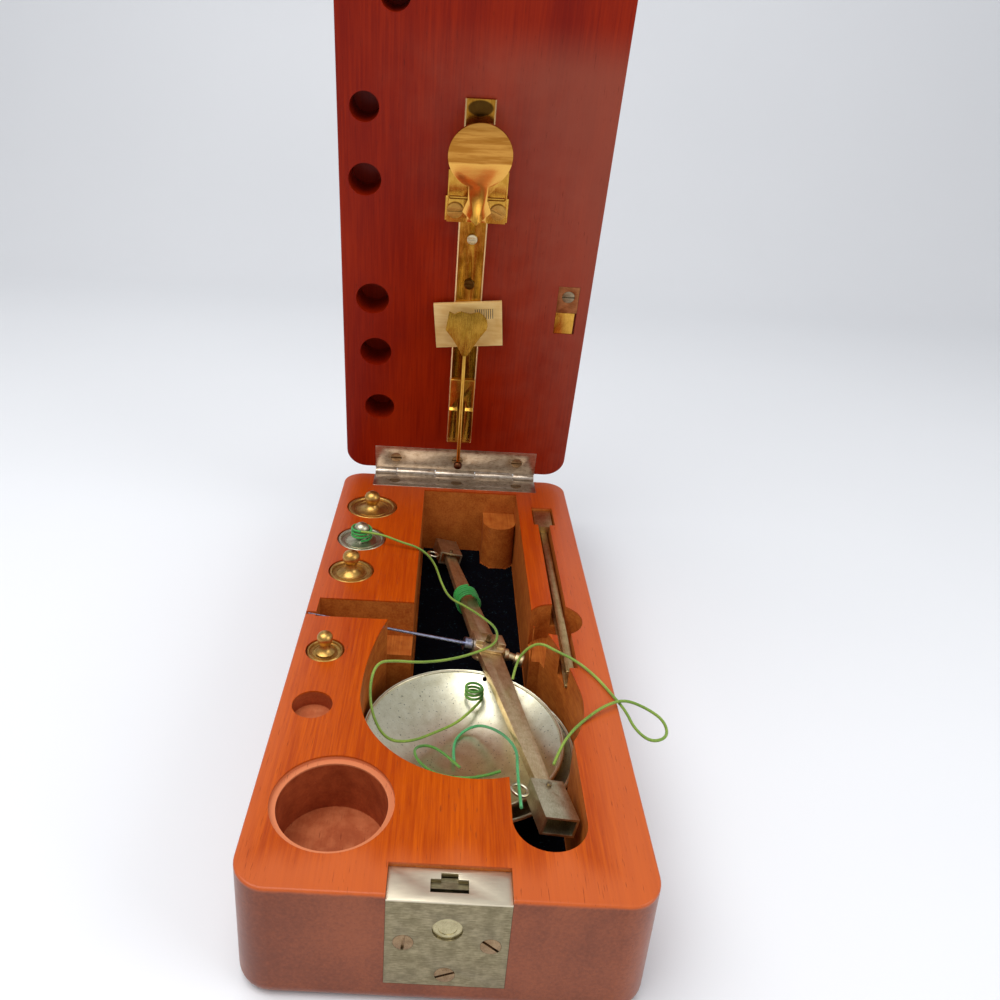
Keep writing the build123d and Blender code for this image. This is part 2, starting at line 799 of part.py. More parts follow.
# Yoke that clamps the scale and carries the pin of the plumb lever
yoke_base = strip_top + scale_thickness
ear_offset = plumb_lug_width / 2 + running_gap + plumb_ear_width / 2
with BuildPart(lid_plane) as plumb_yoke:
    with Locations((plumb_x, plumb_reach, yoke_base)):
        Box(
            2 * ear_offset + plumb_ear_width, 5.0, 0.8, align=(CENTRE, CENTRE, MIN)
        )
    with Locations(
        (plumb_x - ear_offset, plumb_reach, yoke_base),
        (plumb_x + ear_offset, plumb_reach, yoke_base),
    ):
        Box(
            plumb_ear_width,
            2 * plumb_ear_radius,
            plumb_standoff - yoke_base,
            align=(CENTRE, CENTRE, MIN),
        )
    with Locations(
        (plumb_x - ear_offset, plumb_reach, plumb_standoff),
        (plumb_x + ear_offset, plumb_reach, plumb_standoff),
    ):
        Cylinder(plumb_ear_radius, plumb_ear_width, rotation=(0, 90, 0))
    with Locations((plumb_x, plumb_reach, plumb_standoff)):
        Cylinder(plumb_pin_radius, 4 * ear_offset, rotation=(0, 90, 0), mode=Mode.SUBTRACT)
plumb_yoke.part.label = "plumb_yoke"
export_step(plumb_yoke.part, "parts/plumb_yoke.step")

with BuildPart(lid_plane) as plumb_pin:
    with Locations((plumb_x, plumb_reach, plumb_standoff)):
        Cylinder(
            plumb_pin_radius,
            2 * ear_offset + plumb_ear_width,
            rotation=(0, 90, 0),
        )
plumb_pin.part.label = "plumb_pin"
export_step(plumb_pin.part, "parts/plumb_pin.step")

# Plumb lever, which hangs upright from its pin: a shield with a lug, a rod and a ball
plumb_pivot = lid_plane.from_local_coords(Vector(plumb_x, plumb_reach, plumb_standoff))
plumb_plane = Plane(origin=plumb_pivot, x_dir=(1, 0, 0), z_dir=(0, -1, 0))
shield_back = 1.3
shield_foot = -0.5 * plumb_shield_height
with BuildPart(plumb_plane) as plumb_shield:
    with BuildSketch(plumb_plane.offset(shield_back)):
        with BuildLine():
            half = plumb_shield_width / 2
            top = plumb_shield_height * 0.45
            Polyline(
                (-half, 0.1 * top),
                (-0.86 * half, 0.97 * top),
                (-0.62 * half, 0.86 * top),
                (-0.30 * half, top),
                (0.15 * half, 0.9 * top),
                (0.55 * half, top),
            )
            ThreePointArc((0.55 * half, top), (0.92 * half, 0.75 * top), (half, 0.2 * top))
            ThreePointArc((half, 0.2 * top), (0.5 * half, -0.5 * top), (0.12 * half, shield_foot))
            Line((0.12 * half, shield_foot), (-0.12 * half, shield_foot))
            ThreePointArc((-0.12 * half, shield_foot), (-0.5 * half, -0.5 * top), (-half, 0.1 * top))
        make_face()
    extrude(amount=plumb_shield_thickness)
    with BuildSketch(Plane(origin=plumb_pivot, x_dir=(0, -1, 0), z_dir=(1, 0, 0))):
        Circle(plumb_lug_radius)
        with Locations((shield_back / 2 + 0.2, 0)):
            Rectangle(shield_back + 0.4, 2 * plumb_lug_radius)
        Circle(plumb_pin_radius + running_gap, mode=Mode.SUBTRACT)
    extrude(amount=plumb_lug_width / 2, both=True)
plumb_shield.part.label = "plumb_shield"
export_step(plumb_shield.part, "parts/plumb_shield.step")

rod_start = plumb_lug_radius + running_gap
rod_end = plumb_length - plumb_ball_radius
with BuildPart(Plane(origin=plumb_pivot, z_dir=(0, 0, -1)).offset(rod_start)) as plumb_rod:
    Cylinder(plumb_rod_radius, rod_end - rod_start, align=(CENTRE, CENTRE, MIN))
plumb_rod.part.label = "plumb_rod"
export_step(plumb_rod.part, "parts/plumb_rod.step")

with BuildPart(Plane(origin=plumb_pivot, z_dir=(0, 0, -1)).offset(plumb_length)) as plumb_ball:
    Sphere(plumb_ball_radius)
    with Locations((0, 0, -plumb_ball_radius)):
        Cylinder(plumb_rod_radius + seat_gap, 0.8, mode=Mode.SUBTRACT)
plumb_ball.part.label = "plumb_ball"
export_step(plumb_ball.part, "parts/plumb_ball.step")

# Fork of two raised prongs on the lower end of the strip, either side of the rod
with BuildPart(lid_plane) as guide_fork:
    for side in (-1, 1):
        prong_x = pillar_x + side * (fork_gap + fork_prong_width) / 2
        prong_side = lid_plane.from_local_coords(Vector(prong_x - fork_prong_width / 2, 0, 0))
        with BuildSketch(
            Plane(origin=prong_side, x_dir=lid_plane.y_dir, z_dir=lid_plane.x_dir)
        ):
            with BuildLine():
                low, high = strip_top, strip_top + fork_rise
                Polyline(
                    (fork_start, low),
                    (fork_start + 2.0, low),
                    (fork_start + 2.0 + fork_thickness, high - fork_thickness),
                    (fork_end - 3.0 - fork_thickness, high - fork_thickness),
                    (fork_end - 3.0, low),
                    (fork_end, low),
                    (fork_end, low + fork_thickness),
                    (fork_end - 3.0 + 0.4, low + fork_thickness),
                    (fork_end - 3.0 - fork_thickness + 0.4, high),
                    (fork_start + 2.0 + fork_thickness - 0.4, high),
                    (fork_start + 2.0 - 0.4, low + fork_thickness),
                    (fork_start, low + fork_thickness),
                    close=True,
                )
            make_face()
        extrude(amount=fork_prong_width)
    with Locations((pillar_x, fork_end, strip_top)):
        Box(
            fork_gap + 2 * fork_prong_width,
            fork_foot_length,
            fork_thickness,
            align=(CENTRE, MIN, MIN),
        )
guide_fork.part.label = "guide_fork"
export_step(guide_fork.part, "parts/guide_fork.step")

# Spring clip let flush into the lid: a screwed plate and a brass tab below it
with BuildPart(lid_plane) as clip_plate:
    with Locations((clip_x, clip_split + seat_gap, face)):
        Box(clip_width, clip_end - clip_split - seat_gap, clip_thickness, align=(CENTRE, MIN, MAX))
    screw_seats([(clip_x, clip_screw_reach, face - clip_thickness)], clip_thickness)
clip_plate.part.label = "clip_plate"
export_step(clip_plate.part, "parts/clip_plate.step")

with BuildPart(lid_plane) as clip_tab:
    with Locations((clip_x - 0.3, clip_start, face - 0.2)):
        Box(
            clip_width - 0.6, clip_split - clip_start, clip_thickness - 0.2, align=(CENTRE, MIN, MAX)
        )
clip_tab.part.label = "clip_tab"
export_step(clip_tab.part, "parts/clip_tab.step")

with BuildPart(lid_plane) as clip_screw:
    wood_screws([(clip_x, clip_screw_reach, face - clip_thickness)], clip_thickness)
clip_screw.part.label = "clip_screw"
export_step(clip_screw.part, "parts/clip_screw.step")


# Weights: a turned body that fills its socket, with a dished top, a neck and a knob
def turned_weight(socket, body_height, neck, knob, knob_height):
    """Half profile of a weight, turned about the axis of its socket."""
    x, reach, radius, depth, knob_recess = small_sockets[socket]
    y = hinge_y - reach
    rim = radius - loose_gap
    base = case_height - depth
    top = base + body_height
    knob_middle = top + knob_height - knob
    with BuildSketch(Plane(origin=(x, y, 0), x_dir=(1, 0, 0), z_dir=(0, -1, 0))) as profile:
        with BuildLine():
            Polyline(
                (0, knob_middle + knob),
                (0, base),
                (rim, base),
                (rim, top),
                (0.86 * rim, top),
                (0.80 * rim, top - weight_dish),
                (1.6 * neck, top - weight_dish),
                (neck, top - weight_dish / 2),
                (neck, knob_middle - sqrt(knob * knob - neck * neck)),
            )
            ThreePointArc(
                (neck, knob_middle - sqrt(knob * knob - neck * neck)),
                (knob, knob_middle),
                (0, knob_middle + knob),
            )
        make_face()
    revolve(profile.sketch, axis=Axis((x, y, 0), (0, 0, 1)))


for name, socket, body_height, neck, knob, knob_height in weight_sizes:
    with BuildPart() as weight:
        turned_weight(socket, body_height, neck, knob, knob_height)
    weight.part.label = name
    export_step(weight.part, f"parts/{name}.step")

# Tweezers lying on their side: a riveted head and two sprung legs, one above the other
with BuildPart() as tweezer_head:
    with Locations((tweezer_x, tweezer_head_front, tweezer_z)):
        Box(
            tweezer_head_width,
            tweezer_head_length,
            tweezer_head_height,
            align=(CENTRE, MIN, CENTRE),
        )
    fillet(tweezer_head.edges().filter_by(Axis.Y), 0.5)
tweezer_head.part.label = "tweezer_head"
export_step(tweezer_head.part, "parts/tweezer_head.step")


def tweezer_leg(side):
    """Leg that runs from the head to its tip, above (+1) or below (-1) the middle."""
    root_y = tweezer_head_front - running_gap
    root_z = tweezer_z + side * tweezer_root_gap / 2
    tip_z = tweezer_z + side * tweezer_tip_gap / 2
    with BuildSketch(Plane.YZ.offset(tweezer_x - tweezer_leg_width / 2)) as outline:
        with BuildLine():
            Polyline(
                (root_y, root_z),
                (tweezer_tip_y, tip_z),
                (tweezer_tip_y, tip_z + side * tweezer_leg_thickness),
                (root_y, root_z + side * tweezer_leg_thickness),
                close=True,
            )
        make_face()
    extrude(outline.sketch, amount=tweezer_leg_width)


with BuildPart() as tweezer_leg_upper:
    tweezer_leg(1)
tweezer_leg_upper.part.label = "tweezer_leg_upper"
export_step(tweezer_leg_upper.part, "parts/tweezer_leg_upper.step")

with BuildPart() as tweezer_leg_lower:
    tweezer_leg(-1)
tweezer_leg_lower.part.label = "tweezer_leg_lower"
export_step(tweezer_leg_lower.part, "parts/tweezer_leg_lower.step")

# Nickel silver beam: a flat lozenge with a boss, a knife edge across it, a pointer on one
# side and a stem with its bob on the other
half_thickness = beam_thickness / 2
arm_end = beam_arm + pivot_radius + 1.2
with BuildPart(beam_plane) as beam:
    with BuildSketch(beam_plane.offset(-half_thickness)):
        with BuildLine():
            Polyline(
                (-arm_end, -beam_end_width / 2),
                (0, -beam_mid_width / 2),
                (arm_end, -beam_end_width / 2),
                (arm_end, beam_end_width / 2),
                (0, beam_mid_width / 2),
                (-arm_end, beam_end_width / 2),
                close=True,
            )
        make_face()
        with Locations((-beam_arm, 0), (beam_arm, 0)):
            Circle(pivot_radius + running_gap, mode=Mode.SUBTRACT)
        Circle(knife_radius + seat_gap, mode=Mode.SUBTRACT)
    extrude(amount=beam_thickness)
beam.part.label = "beam"
export_step(beam.part, "parts/beam.step")

with BuildPart(beam_plane) as beam_boss:
    Box(boss_length, boss_width, boss_thickness)
    chamfer(beam_boss.edges().filter_by(Axis(beam_plane.origin, beam_plane.z_dir)), 1.5)
    Box(
        2 * boss_length,
        beam_mid_width + 2 * seat_gap,
        beam_thickness + 2 * seat_gap,
        mode=Mode.SUBTRACT,
    )
    with Locations(
        (0, -(boss_width - boss_ridge_width) / 2, boss_thickness / 2),
        (0, (boss_width - boss_ridge_width) / 2, boss_thickness / 2),
    ):
        Box(boss_ridge_length, boss_ridge_width, boss_ridge_height, align=(CENTRE, CENTRE, MIN))
    Cylinder(knife_radius + seat_gap, 2 * boss_thickness, mode=Mode.SUBTRACT)
beam_boss.part.label = "beam_boss"
export_step(beam_boss.part, "parts/beam_boss.step")

with BuildPart(beam_plane) as centre_knife:
    with BuildSketch(beam_plane.offset(-knife_length / 2)):
        RegularPolygon(knife_radius, 3)
    extrude(amount=knife_length)
centre_knife.part.label = "centre_knife"
export_step(centre_knife.part, "parts/centre_knife.step")

pointer_turn = radians(pointer_lean)
pointer_way = -beam_plane.y_dir * cos(pointer_turn) - beam_plane.x_dir * sin(pointer_turn)
pointer_plane = Plane(origin=beam_centre, x_dir=beam_plane.z_dir, z_dir=pointer_way)
pointer_root = boss_width / 2 + seat_gap + 3 * pointer_radius * sin(pointer_turn)
with BuildPart(pointer_plane.offset(pointer_root)) as pointer:
    Cylinder(3 * pointer_radius, 2.4, align=(CENTRE, CENTRE, MIN))
    Cone(
        pointer_radius,
        pointer_tip_radius,
        pointer_length - pointer_root,
        align=(CENTRE, CENTRE, MIN),
    )
pointer.part.label = "pointer"
export_step(pointer.part, "parts/pointer.step")

# Stem on the other side of the boss, with its foot against the boss and a bob on its end
stem_lean = radians(stem_angle)
stem_way = beam_plane.y_dir * cos(stem_lean) + beam_plane.x_dir * sin(stem_lean)
stem_plane = Plane(origin=beam_centre, z_dir=stem_way)
stem_start = (boss_width / 2 + 1.2) / cos(stem_lean)
with BuildPart() as gravity_stem:
    with Locations(stem_plane.offset(stem_start)):
        Cylinder(stem_radius, stem_length - stem_start, align=(CENTRE, CENTRE, MIN))
    foot_x = (boss_width / 2 + 0.7) * tan(stem_lean)
    foot_middle = beam_plane.from_local_coords(Vector(foot_x, boss_width / 2 + seat_gap, 0))
    with Locations(Plane(origin=foot_middle, z_dir=beam_plane.y_dir)):
        Cylinder(stem_foot_radius, 1.4, align=(CENTRE, CENTRE, MIN))
gravity_stem.part.label = "gravity_stem"
export_step(gravity_stem.part, "parts/gravity_stem.step")

with BuildPart(stem_plane.offset(stem_length + seat_gap)) as gravity_bob:
    Cylinder(bob_radius, bob_length, align=(CENTRE, CENTRE, MIN))
    fillet(gravity_bob.edges(), 0.6)
gravity_bob.part.label = "gravity_bob"
export_step(gravity_bob.part, "parts/gravity_bob.step")


# Stirrups that swing on the ends of the beam: open sleeves round each arm
def stirrup(side):
    """Sleeve at the near (+1) or the far (-1) end, drilled for its pivot pin."""
    middle = side * (beam_arm + stirrup_length / 2 - stirrup_behind_pivot)
    with Locations((middle, 0, 0)):
        Box(stirrup_length, stirrup_width, stirrup_height)
        Box(
            2 * stirrup_length,
            stirrup_width - 2 * stirrup_wall,
            stirrup_height - 2 * stirrup_wall,
            mode=Mode.SUBTRACT,
        )
    with Locations((side * beam_arm, 0, 0)):
        Cylinder(pivot_radius + running_gap, 2 * stirrup_height, mode=Mode.SUBTRACT)


with BuildPart(beam_plane) as stirrup_near:
    stirrup(1)
stirrup_near.part.label = "stirrup_near"
export_step(stirrup_near.part, "parts/stirrup_near.step")

with BuildPart(beam_plane) as stirrup_far:
    stirrup(-1)
stirrup_far.part.label = "stirrup_far"
export_step(stirrup_far.part, "parts/stirrup_far.step")

with BuildPart(beam_plane) as stirrup_pins:
    with Locations((beam_arm, 0, 0), (-beam_arm, 0, 0)):
        Cylinder(pivot_radius, stirrup_height + 1.2)
stirrup_pins.part.label = "stirrup_pins"
export_step(stirrup_pins.part, "parts/stirrup_pins.step")

ring_y = -(stirrup_width / 2 + ring_radius + ring_wire_radius + seat_gap)
with BuildPart(beam_plane) as ring_near:
    with Locations((beam_arm, ring_y, 0)):
        Torus(ring_radius, ring_wire_radius)
ring_near.part.label = "ring_near"
export_step(ring_near.part, "parts/ring_near.step")

with BuildPart(beam_plane) as ring_far:
    with Locations((-beam_arm, ring_y, 0)):
        Torus(ring_radius, ring_wire_radius)
ring_far.part.label = "ring_far"
export_step(ring_far.part, "parts/ring_far.step")


# Pans: shallow dishes with three holes for their cords, one nested in the other
def pan(x, y, z):
    """Half profile of a dish that stands on z, turned about the upright through (x, y)."""
    sphere = (pan_radius * pan_radius + pan_depth * pan_depth) / (2 * pan_depth)
    half = asin(pan_radius / sphere) / 2

    def along(radius, angle):
        return (radius * sin(angle), z + sphere - radius * cos(angle))

    inner = sphere - pan_wall
    with BuildSketch(Plane(origin=(x, y, 0), x_dir=(1, 0, 0), z_dir=(0, -1, 0))) as profile:
        with BuildLine():
            ThreePointArc(along(sphere, 0), along(sphere, half), along(sphere, 2 * half))
            Line(along(sphere, 2 * half), along(inner, 2 * half))
            ThreePointArc(along(inner, 2 * half), along(inner, half), along(inner, 0))
            Line(along(inner, 0), along(sphere, 0))
        make_face()
    revolve(profile.sketch, axis=Axis((x, y, 0), (0, 0, 1)))
    with Locations((x, y, z + pan_depth)):
        with PolarLocations(pan_hole_reach, 3, start_angle=75):
            Cylinder(pan_hole_radius, pan_depth, mode=Mode.SUBTRACT)


with BuildPart() as pan_lower:
    pan(lower_pan_x, lower_pan_y, floor_top + seat_gap)
pan_lower.part.label = "pan_lower"
export_step(pan_lower.part, "parts/pan_lower.step")

with BuildPart() as pan_upper:
    pan(
        lower_pan_x + upper_pan_shift_x,
        lower_pan_y + upper_pan_shift_y,
        floor_top + seat_gap + upper_pan_rise,
    )
pan_upper.part.label = "pan_upper"
export_step(pan_upper.part, "parts/pan_upper.step")


# Silk cords: straight runs joined by the largest arcs that fit
def cord(name, points):
    """Tube along the points; its length, least bend and volume are printed."""
    stops = [Vector(*point) for point in points]
    runs = [end - start for start, end in zip(stops, stops[1:])]
    radii = []
    for before, after in zip(runs, runs[1:]):
        turn = radians(before.get_angle(after))
        radii.append(0.45 * min(before.length, after.length) / tan(turn / 2))
    with BuildLine() as route:
        FilletPolyline(*stops, radius=radii)
    tube(name, route.line, min(radii))


def tube(name, path, least_bend):
    """Round tube of the cord's diameter along a path."""
    with BuildSketch(Plane(origin=path @ 0, z_dir=path % 0)) as section:
        Circle(cord_diameter / 2)
    solid = sweep(section.sketch, path=path)
    length = sum(edge.length for edge in path.edges())
    fill = solid.volume / (length * pi * cord_diameter * cord_diameter / 4)
    print(name, "length", round(length, 1), "bend", round(least_bend, 2), "fill", round(fill, 3))


def winding(name, plane, radius, pitch, turns):
    """Helix up the plane's Z from its X axis, each quarter turn made of two tangent arcs."""
    quarters = 4 * turns
    climb = pitch / 4
    length = sqrt((radius * pi / 2) ** 2 + climb**2)
    places = []
    ways = []
    for number in range(quarters + 1):
        angle = number * pi / 2
        local = Vector(radius * cos(angle), radius * sin(angle), number * climb)
        way = Vector(-sin(angle), cos(angle), 0) * (radius * pi / 2 / length)
        way += Vector(0, 0, climb / length)
        places.append(plane.from_local_coords(local))
        ways.append(plane.from_local_coords(local + way) - places[-1])
    with BuildLine() as route:
        for start, end, way_in, way_out in zip(places, places[1:], ways, ways[1:]):
            chord = end - start
            both = way_in + way_out
            spread = 2 * (1 - way_in.dot(way_out))
            slope = chord.dot(both)
            reach = (sqrt(slope * slope + spread * chord.dot(chord)) - slope) / spread
            middle = (start + end + (way_in - way_out) * reach) / 2
            TangentArc(start, middle, tangent=way_in)
            TangentArc(middle, end, tangent=route.line % 1)
    samples = [route.line @ (step / (quarters * 12)) for step in range(quarters * 12 + 1)]
    gap = min(
        (samples[i] - samples[j]).length
        for i in range(len(samples))
        for j in range(i + 24, len(samples))
    )
    print(name, "least gap to itself", round(gap - cord_diameter, 2))
    tube(name, route.line, radius)


# One cord runs from the second weight over the beam to the pans, a second from the near
# stirrup to the pans, with a loose loop on the upper pan, and a third past the right edge
wound_x, wound_reach = small_sockets[1][:2]
wound_y = hinge_y - wound_reach
knob_winding_radius = weight_sizes[1][4] + cord_diameter / 2 + loose_gap
winding_foot = case_height + cord_diameter / 2 + 0.2
knob_winding_plane = Plane(
    origin=(wound_x, wound_y, winding_foot), x_dir=(0, -1, 0), z_dir=(0, 0, 1)
)
with BuildPart() as cord_knob_winding:
    winding("cord_knob_winding", knob_winding_plane, knob_winding_radius, winding_pitch, knob_turns)
cord_knob_winding.part.label = "cord_knob_winding"
export_step(cord_knob_winding.part, "parts/cord_knob_winding.step")

beam_taper = (beam_mid_width - beam_end_width) / beam_arm
beam_width_there = beam_mid_width - beam_taper * beam_winding_near
beam_winding_radius = beam_width_there / 2 + cord_diameter / 2 + beam_winding_gap
beam_winding_far = beam_winding_near + beam_turns * winding_pitch
beam_winding_origin = beam_plane.from_local_coords(Vector(-beam_winding_far, 0, 0))
beam_winding_plane = Plane(
    origin=beam_winding_origin, x_dir=beam_plane.z_dir, z_dir=beam_plane.x_dir
)
with BuildPart() as cord_beam_winding:
    winding("cord_beam_winding", beam_winding_plane, beam_winding_radius, winding_pitch, beam_turns)
cord_beam_winding.part.label = "cord_beam_winding"
export_step(cord_beam_winding.part, "parts/cord_beam_winding.step")

winding_end_y = wound_y - knob_winding_radius
winding_top = winding_foot + knob_turns * winding_pitch
tangle_x, tangle_y = tangle_centre
tangle_side = Vector(0.839, -0.545, 0)
tangle_start = Vector(tangle_x, tangle_y, tangle_foot) + tangle_side * tangle_radius
cord_long_points = [
    (wound_x + 0.05, winding_end_y, winding_top),
    (-26.0, winding_end_y - 0.1, winding_top - 0.4),
    (-18.8, 39.4, winding_top - 2.2),
    (-11.6, 37.6, winding_top - 3.2),
    (-6.4, 39.0, 28.2),
    (-3.4, 36.6, 20.6),
    (-0.4, 29.6, 19.4),
    (5.0, 22.2, 21.4),
    (10.3, 14.9, 22.6),
    (15.0, 7.5, 23.4),
    (14.7, -1.0, 23.9),
    (8.6, -6.6, 24.2),
    (-0.1, -12.4, 25.2),
    (-8.9, -17.6, 27.6),
    (-16.1, -22.0, 31.2),
    (-21.0, -26.2, 33.6),
    (-22.4, -32.6, 30.4),
    (-21.0, -38.6, 25.4),
    (-16.8, -43.0, 21.0),
    (-10.4, -40.0, 18.0),
    (-3.4, -33.0, 15.6),
    (4.4, -26.9, 15.2),
    (tangle_start.X - 0.03, tangle_start.Y - 0.05, tangle_foot),
]
with BuildPart() as cord_long:
    cord("cord_long", cord_long_points)
cord_long.part.label = "cord_long"
export_step(cord_long.part, "parts/cord_long.step")

tangle_plane = Plane(
    origin=(tangle_x, tangle_y, tangle_foot), x_dir=tangle_side, z_dir=(0, 0, 1)
)
with BuildPart() as cord_tangle:
    winding("cord_tangle", tangle_plane, tangle_radius, tangle_pitch, tangle_turns)
cord_tangle.part.label = "cord_tangle"
export_step(cord_tangle.part, "parts/cord_tangle.step")

cord_teal_points = [
    (17.0, -73.0, 30.4),
    (16.9, -66.6, 30.0),
    (17.0, -59.6, 29.4),
    (17.6, -51.3, 27.4),
    (15.6, -42.7, 24.0),
    (12.4, -34.4, 19.4),
    (8.6, -27.8, 14.6),
    (3.9, -28.4, 12.0),
    (1.5, -33.8, 11.6),
    (2.2, -40.6, 12.2),
]
with BuildPart() as cord_teal:
    cord("cord_teal", cord_teal_points)
cord_teal.part.label = "cord_teal"
export_step(cord_teal.part, "parts/cord_teal.step")

cord_pan_points = [
    (3.6, -43.6, 13.4),
    (-0.8, -38.6, 13.6),
    (-5.4, -36.6, 14.4),
    (-9.4, -40.6, 16.6),
    (-8.0, -47.5, 18.6),
    (-3.3, -54.0, 20.6),
    (2.6, -55.6, 21.2),
    (8.6, -55.2, 21.6),
    (13.6, -53.4, 22.2),
]
with BuildPart() as cord_pan:
    cord("cord_pan", cord_pan_points)
cord_pan.part.label = "cord_pan"
export_step(cord_pan.part, "parts/cord_pan.step")

cord_edge_points = [
    (18.6, -17.9, 23.6),
    (19.6, -14.2, 27.0),
    (22.4, -12.8, 31.0),
    (26.0, -14.4, 34.6),
    (30.4, -17.6, 34.2),
    (35.6, -20.9, 33.8),
    (40.4, -27.2, 33.6),
    (44.0, -35.2, 33.6),
    (46.6, -41.6, 33.6),
    (47.6, -47.8, 33.4),
    (51.0, -52.4, 33.2),
    (56.0, -50.0, 33.0),
    (56.4, -43.6, 33.0),
    (52.0, -39.2, 33.4),
    (46.4, -38.2, 34.8),
    (40.8, -41.0, 34.6),
    (35.8, -45.0, 33.8),
    (31.4, -49.4, 33.0),
    (28.2, -53.6, 31.4),
    (26.0, -58.6, 30.2),
]
with BuildPart() as cord_edge:
    cord("cord_edge", cord_edge_points)
cord_edge.part.label = "cord_edge"
export_step(cord_edge.part, "parts/cord_edge.step")
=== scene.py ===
import json
import math

import bmesh
import bpy
from mathutils import Matrix, Vector
from mathutils.bvhtree import BVHTree
from mathutils.noise import noise


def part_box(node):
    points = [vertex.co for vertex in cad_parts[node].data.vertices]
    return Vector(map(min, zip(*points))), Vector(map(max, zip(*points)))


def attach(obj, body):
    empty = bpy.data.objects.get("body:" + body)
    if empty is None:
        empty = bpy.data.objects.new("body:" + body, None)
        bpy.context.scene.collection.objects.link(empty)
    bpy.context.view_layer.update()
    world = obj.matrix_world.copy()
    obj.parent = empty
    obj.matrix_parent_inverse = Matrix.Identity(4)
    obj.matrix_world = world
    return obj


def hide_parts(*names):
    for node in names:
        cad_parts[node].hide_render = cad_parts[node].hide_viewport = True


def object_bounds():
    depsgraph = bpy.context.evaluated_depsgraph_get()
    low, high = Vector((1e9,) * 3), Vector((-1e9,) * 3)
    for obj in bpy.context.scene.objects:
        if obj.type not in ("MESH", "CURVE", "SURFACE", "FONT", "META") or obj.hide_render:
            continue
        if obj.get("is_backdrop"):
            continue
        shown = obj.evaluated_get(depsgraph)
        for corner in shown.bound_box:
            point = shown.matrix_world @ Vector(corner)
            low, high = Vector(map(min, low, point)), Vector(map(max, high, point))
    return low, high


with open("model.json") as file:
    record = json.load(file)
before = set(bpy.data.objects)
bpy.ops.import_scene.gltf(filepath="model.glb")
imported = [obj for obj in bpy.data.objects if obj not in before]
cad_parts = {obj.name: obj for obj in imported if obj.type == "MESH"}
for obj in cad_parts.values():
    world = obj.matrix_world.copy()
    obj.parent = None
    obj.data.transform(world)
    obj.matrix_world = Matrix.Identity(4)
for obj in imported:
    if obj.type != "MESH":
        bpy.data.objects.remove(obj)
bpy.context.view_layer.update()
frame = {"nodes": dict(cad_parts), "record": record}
nodes = frame["nodes"]
body_of = {
    node: body
    for body, members in frame["record"]["behaviour"]["bodies"].items()
    for node in members
}

# Camera: stands in front of the lock, looks down into the case and is turned a little, with
# the photograph's off-centre crop as a small shift.
EYE = Vector((-0.00563, -0.22126, 0.18353))
PITCH, YAW, ROLL = 0.408, 0.004, 0.054
ahead = Vector(
    (math.sin(YAW) * math.cos(PITCH), math.cos(YAW) * math.cos(PITCH), -math.sin(PITCH))
)
level = Vector((math.cos(YAW), -math.sin(YAW), 0))
upright = level.cross(ahead)
right = level * math.cos(ROLL) + upright * math.sin(ROLL)
above = upright * math.cos(ROLL) - level * math.sin(ROLL)
camera_data = bpy.data.cameras.new("camera")
camera_data.sensor_width = 36
camera_data.lens = 30.516
camera_data.shift_x = 0.05448
camera_data.shift_y = -0.04867
camera_data.clip_start = 0.01
camera = bpy.data.objects.new("camera", camera_data)
camera.matrix_world = Matrix.Translation(EYE) @ Matrix((right, above, -ahead)).transposed().to_4x4()
bpy.context.scene.collection.objects.link(camera)
bpy.context.scene.camera = camera


# Cords: fine green silk, 0.8 mm thick, that hangs the pans from the beam. The long one comes
# off the knob of the second weight, two stretches are wound on the knob and the beam, and the
# others lie over the beam, the pans and the edge. They are curves along the solids' routes.
def silk_line(name, points):
    """Open tube 0.8 mm thick on one quadratic spline."""
    data = bpy.data.curves.new(name, "CURVE")
    data.dimensions = "3D"
    data.bevel_depth = 0.0004
    data.bevel_resolution = 4
    data.resolution_u = 10
    data.use_fill_caps = True
    spline = data.splines.new("NURBS")
    spline.points.add(len(points) - 1)
    for control, point in zip(spline.points, points):
        control.co = (*point, 1)
    spline.order_u = 3
    spline.use_endpoint_u = True
    line = bpy.data.objects.new(name, data)
    bpy.context.scene.collection.objects.link(line)
    return line


def coil_points(origin, across, along, radius, pitch, turns):
    """Twelve control points for each turn of a helix that starts on the across side."""
    start = Vector(across).normalized()
    way = Vector(along).normalized()
    side = way.cross(start)
    outset = radius / 0.966
    points = []
    for step in range(12 * turns + 1):
        angle = step * math.pi / 6
        wander = 0.00012 * noise(Vector((step * 0.37, radius * 900, 0)))
        rise = pitch * step / 12 + 0.00010 * noise(Vector((step * 0.41, radius * 900, 7)))
        spoke = start * math.cos(angle) + side * math.sin(angle)
        points.append(Vector(origin) + spoke * (outset + wander) + way * rise)
    return points


long_route = [
    (-0.03285, 0.04140, 0.03750),
    (-0.02600, 0.04130, 0.03710),
    (-0.01880, 0.03940, 0.03530),
    (-0.01160, 0.03760, 0.03430),
    (-0.00640, 0.03900, 0.02820),
    (-0.00340, 0.03660, 0.02060),
    (-0.00040, 0.02960, 0.01940),
    (0.00500, 0.02220, 0.02140),
    (0.01030, 0.01490, 0.02260),
    (0.01500, 0.00750, 0.02340),
    (0.01470, -0.00100, 0.02390),
    (0.00860, -0.00660, 0.02420),
    (-0.00010, -0.01240, 0.02520),
    (-0.00890, -0.01760, 0.02760),
    (-0.01610, -0.02200, 0.03120),
    (-0.02100, -0.02620, 0.03360),
    (-0.02240, -0.03260, 0.03040),
    (-0.02100, -0.03860, 0.02540),
    (-0.01680, -0.04300, 0.02100),
    (-0.01040, -0.04000, 0.01800),
    (-0.00340, -0.03300, 0.01560),
    (0.00440, -0.02690, 0.01520),
    (0.00967, -0.01881, 0.01590),
]
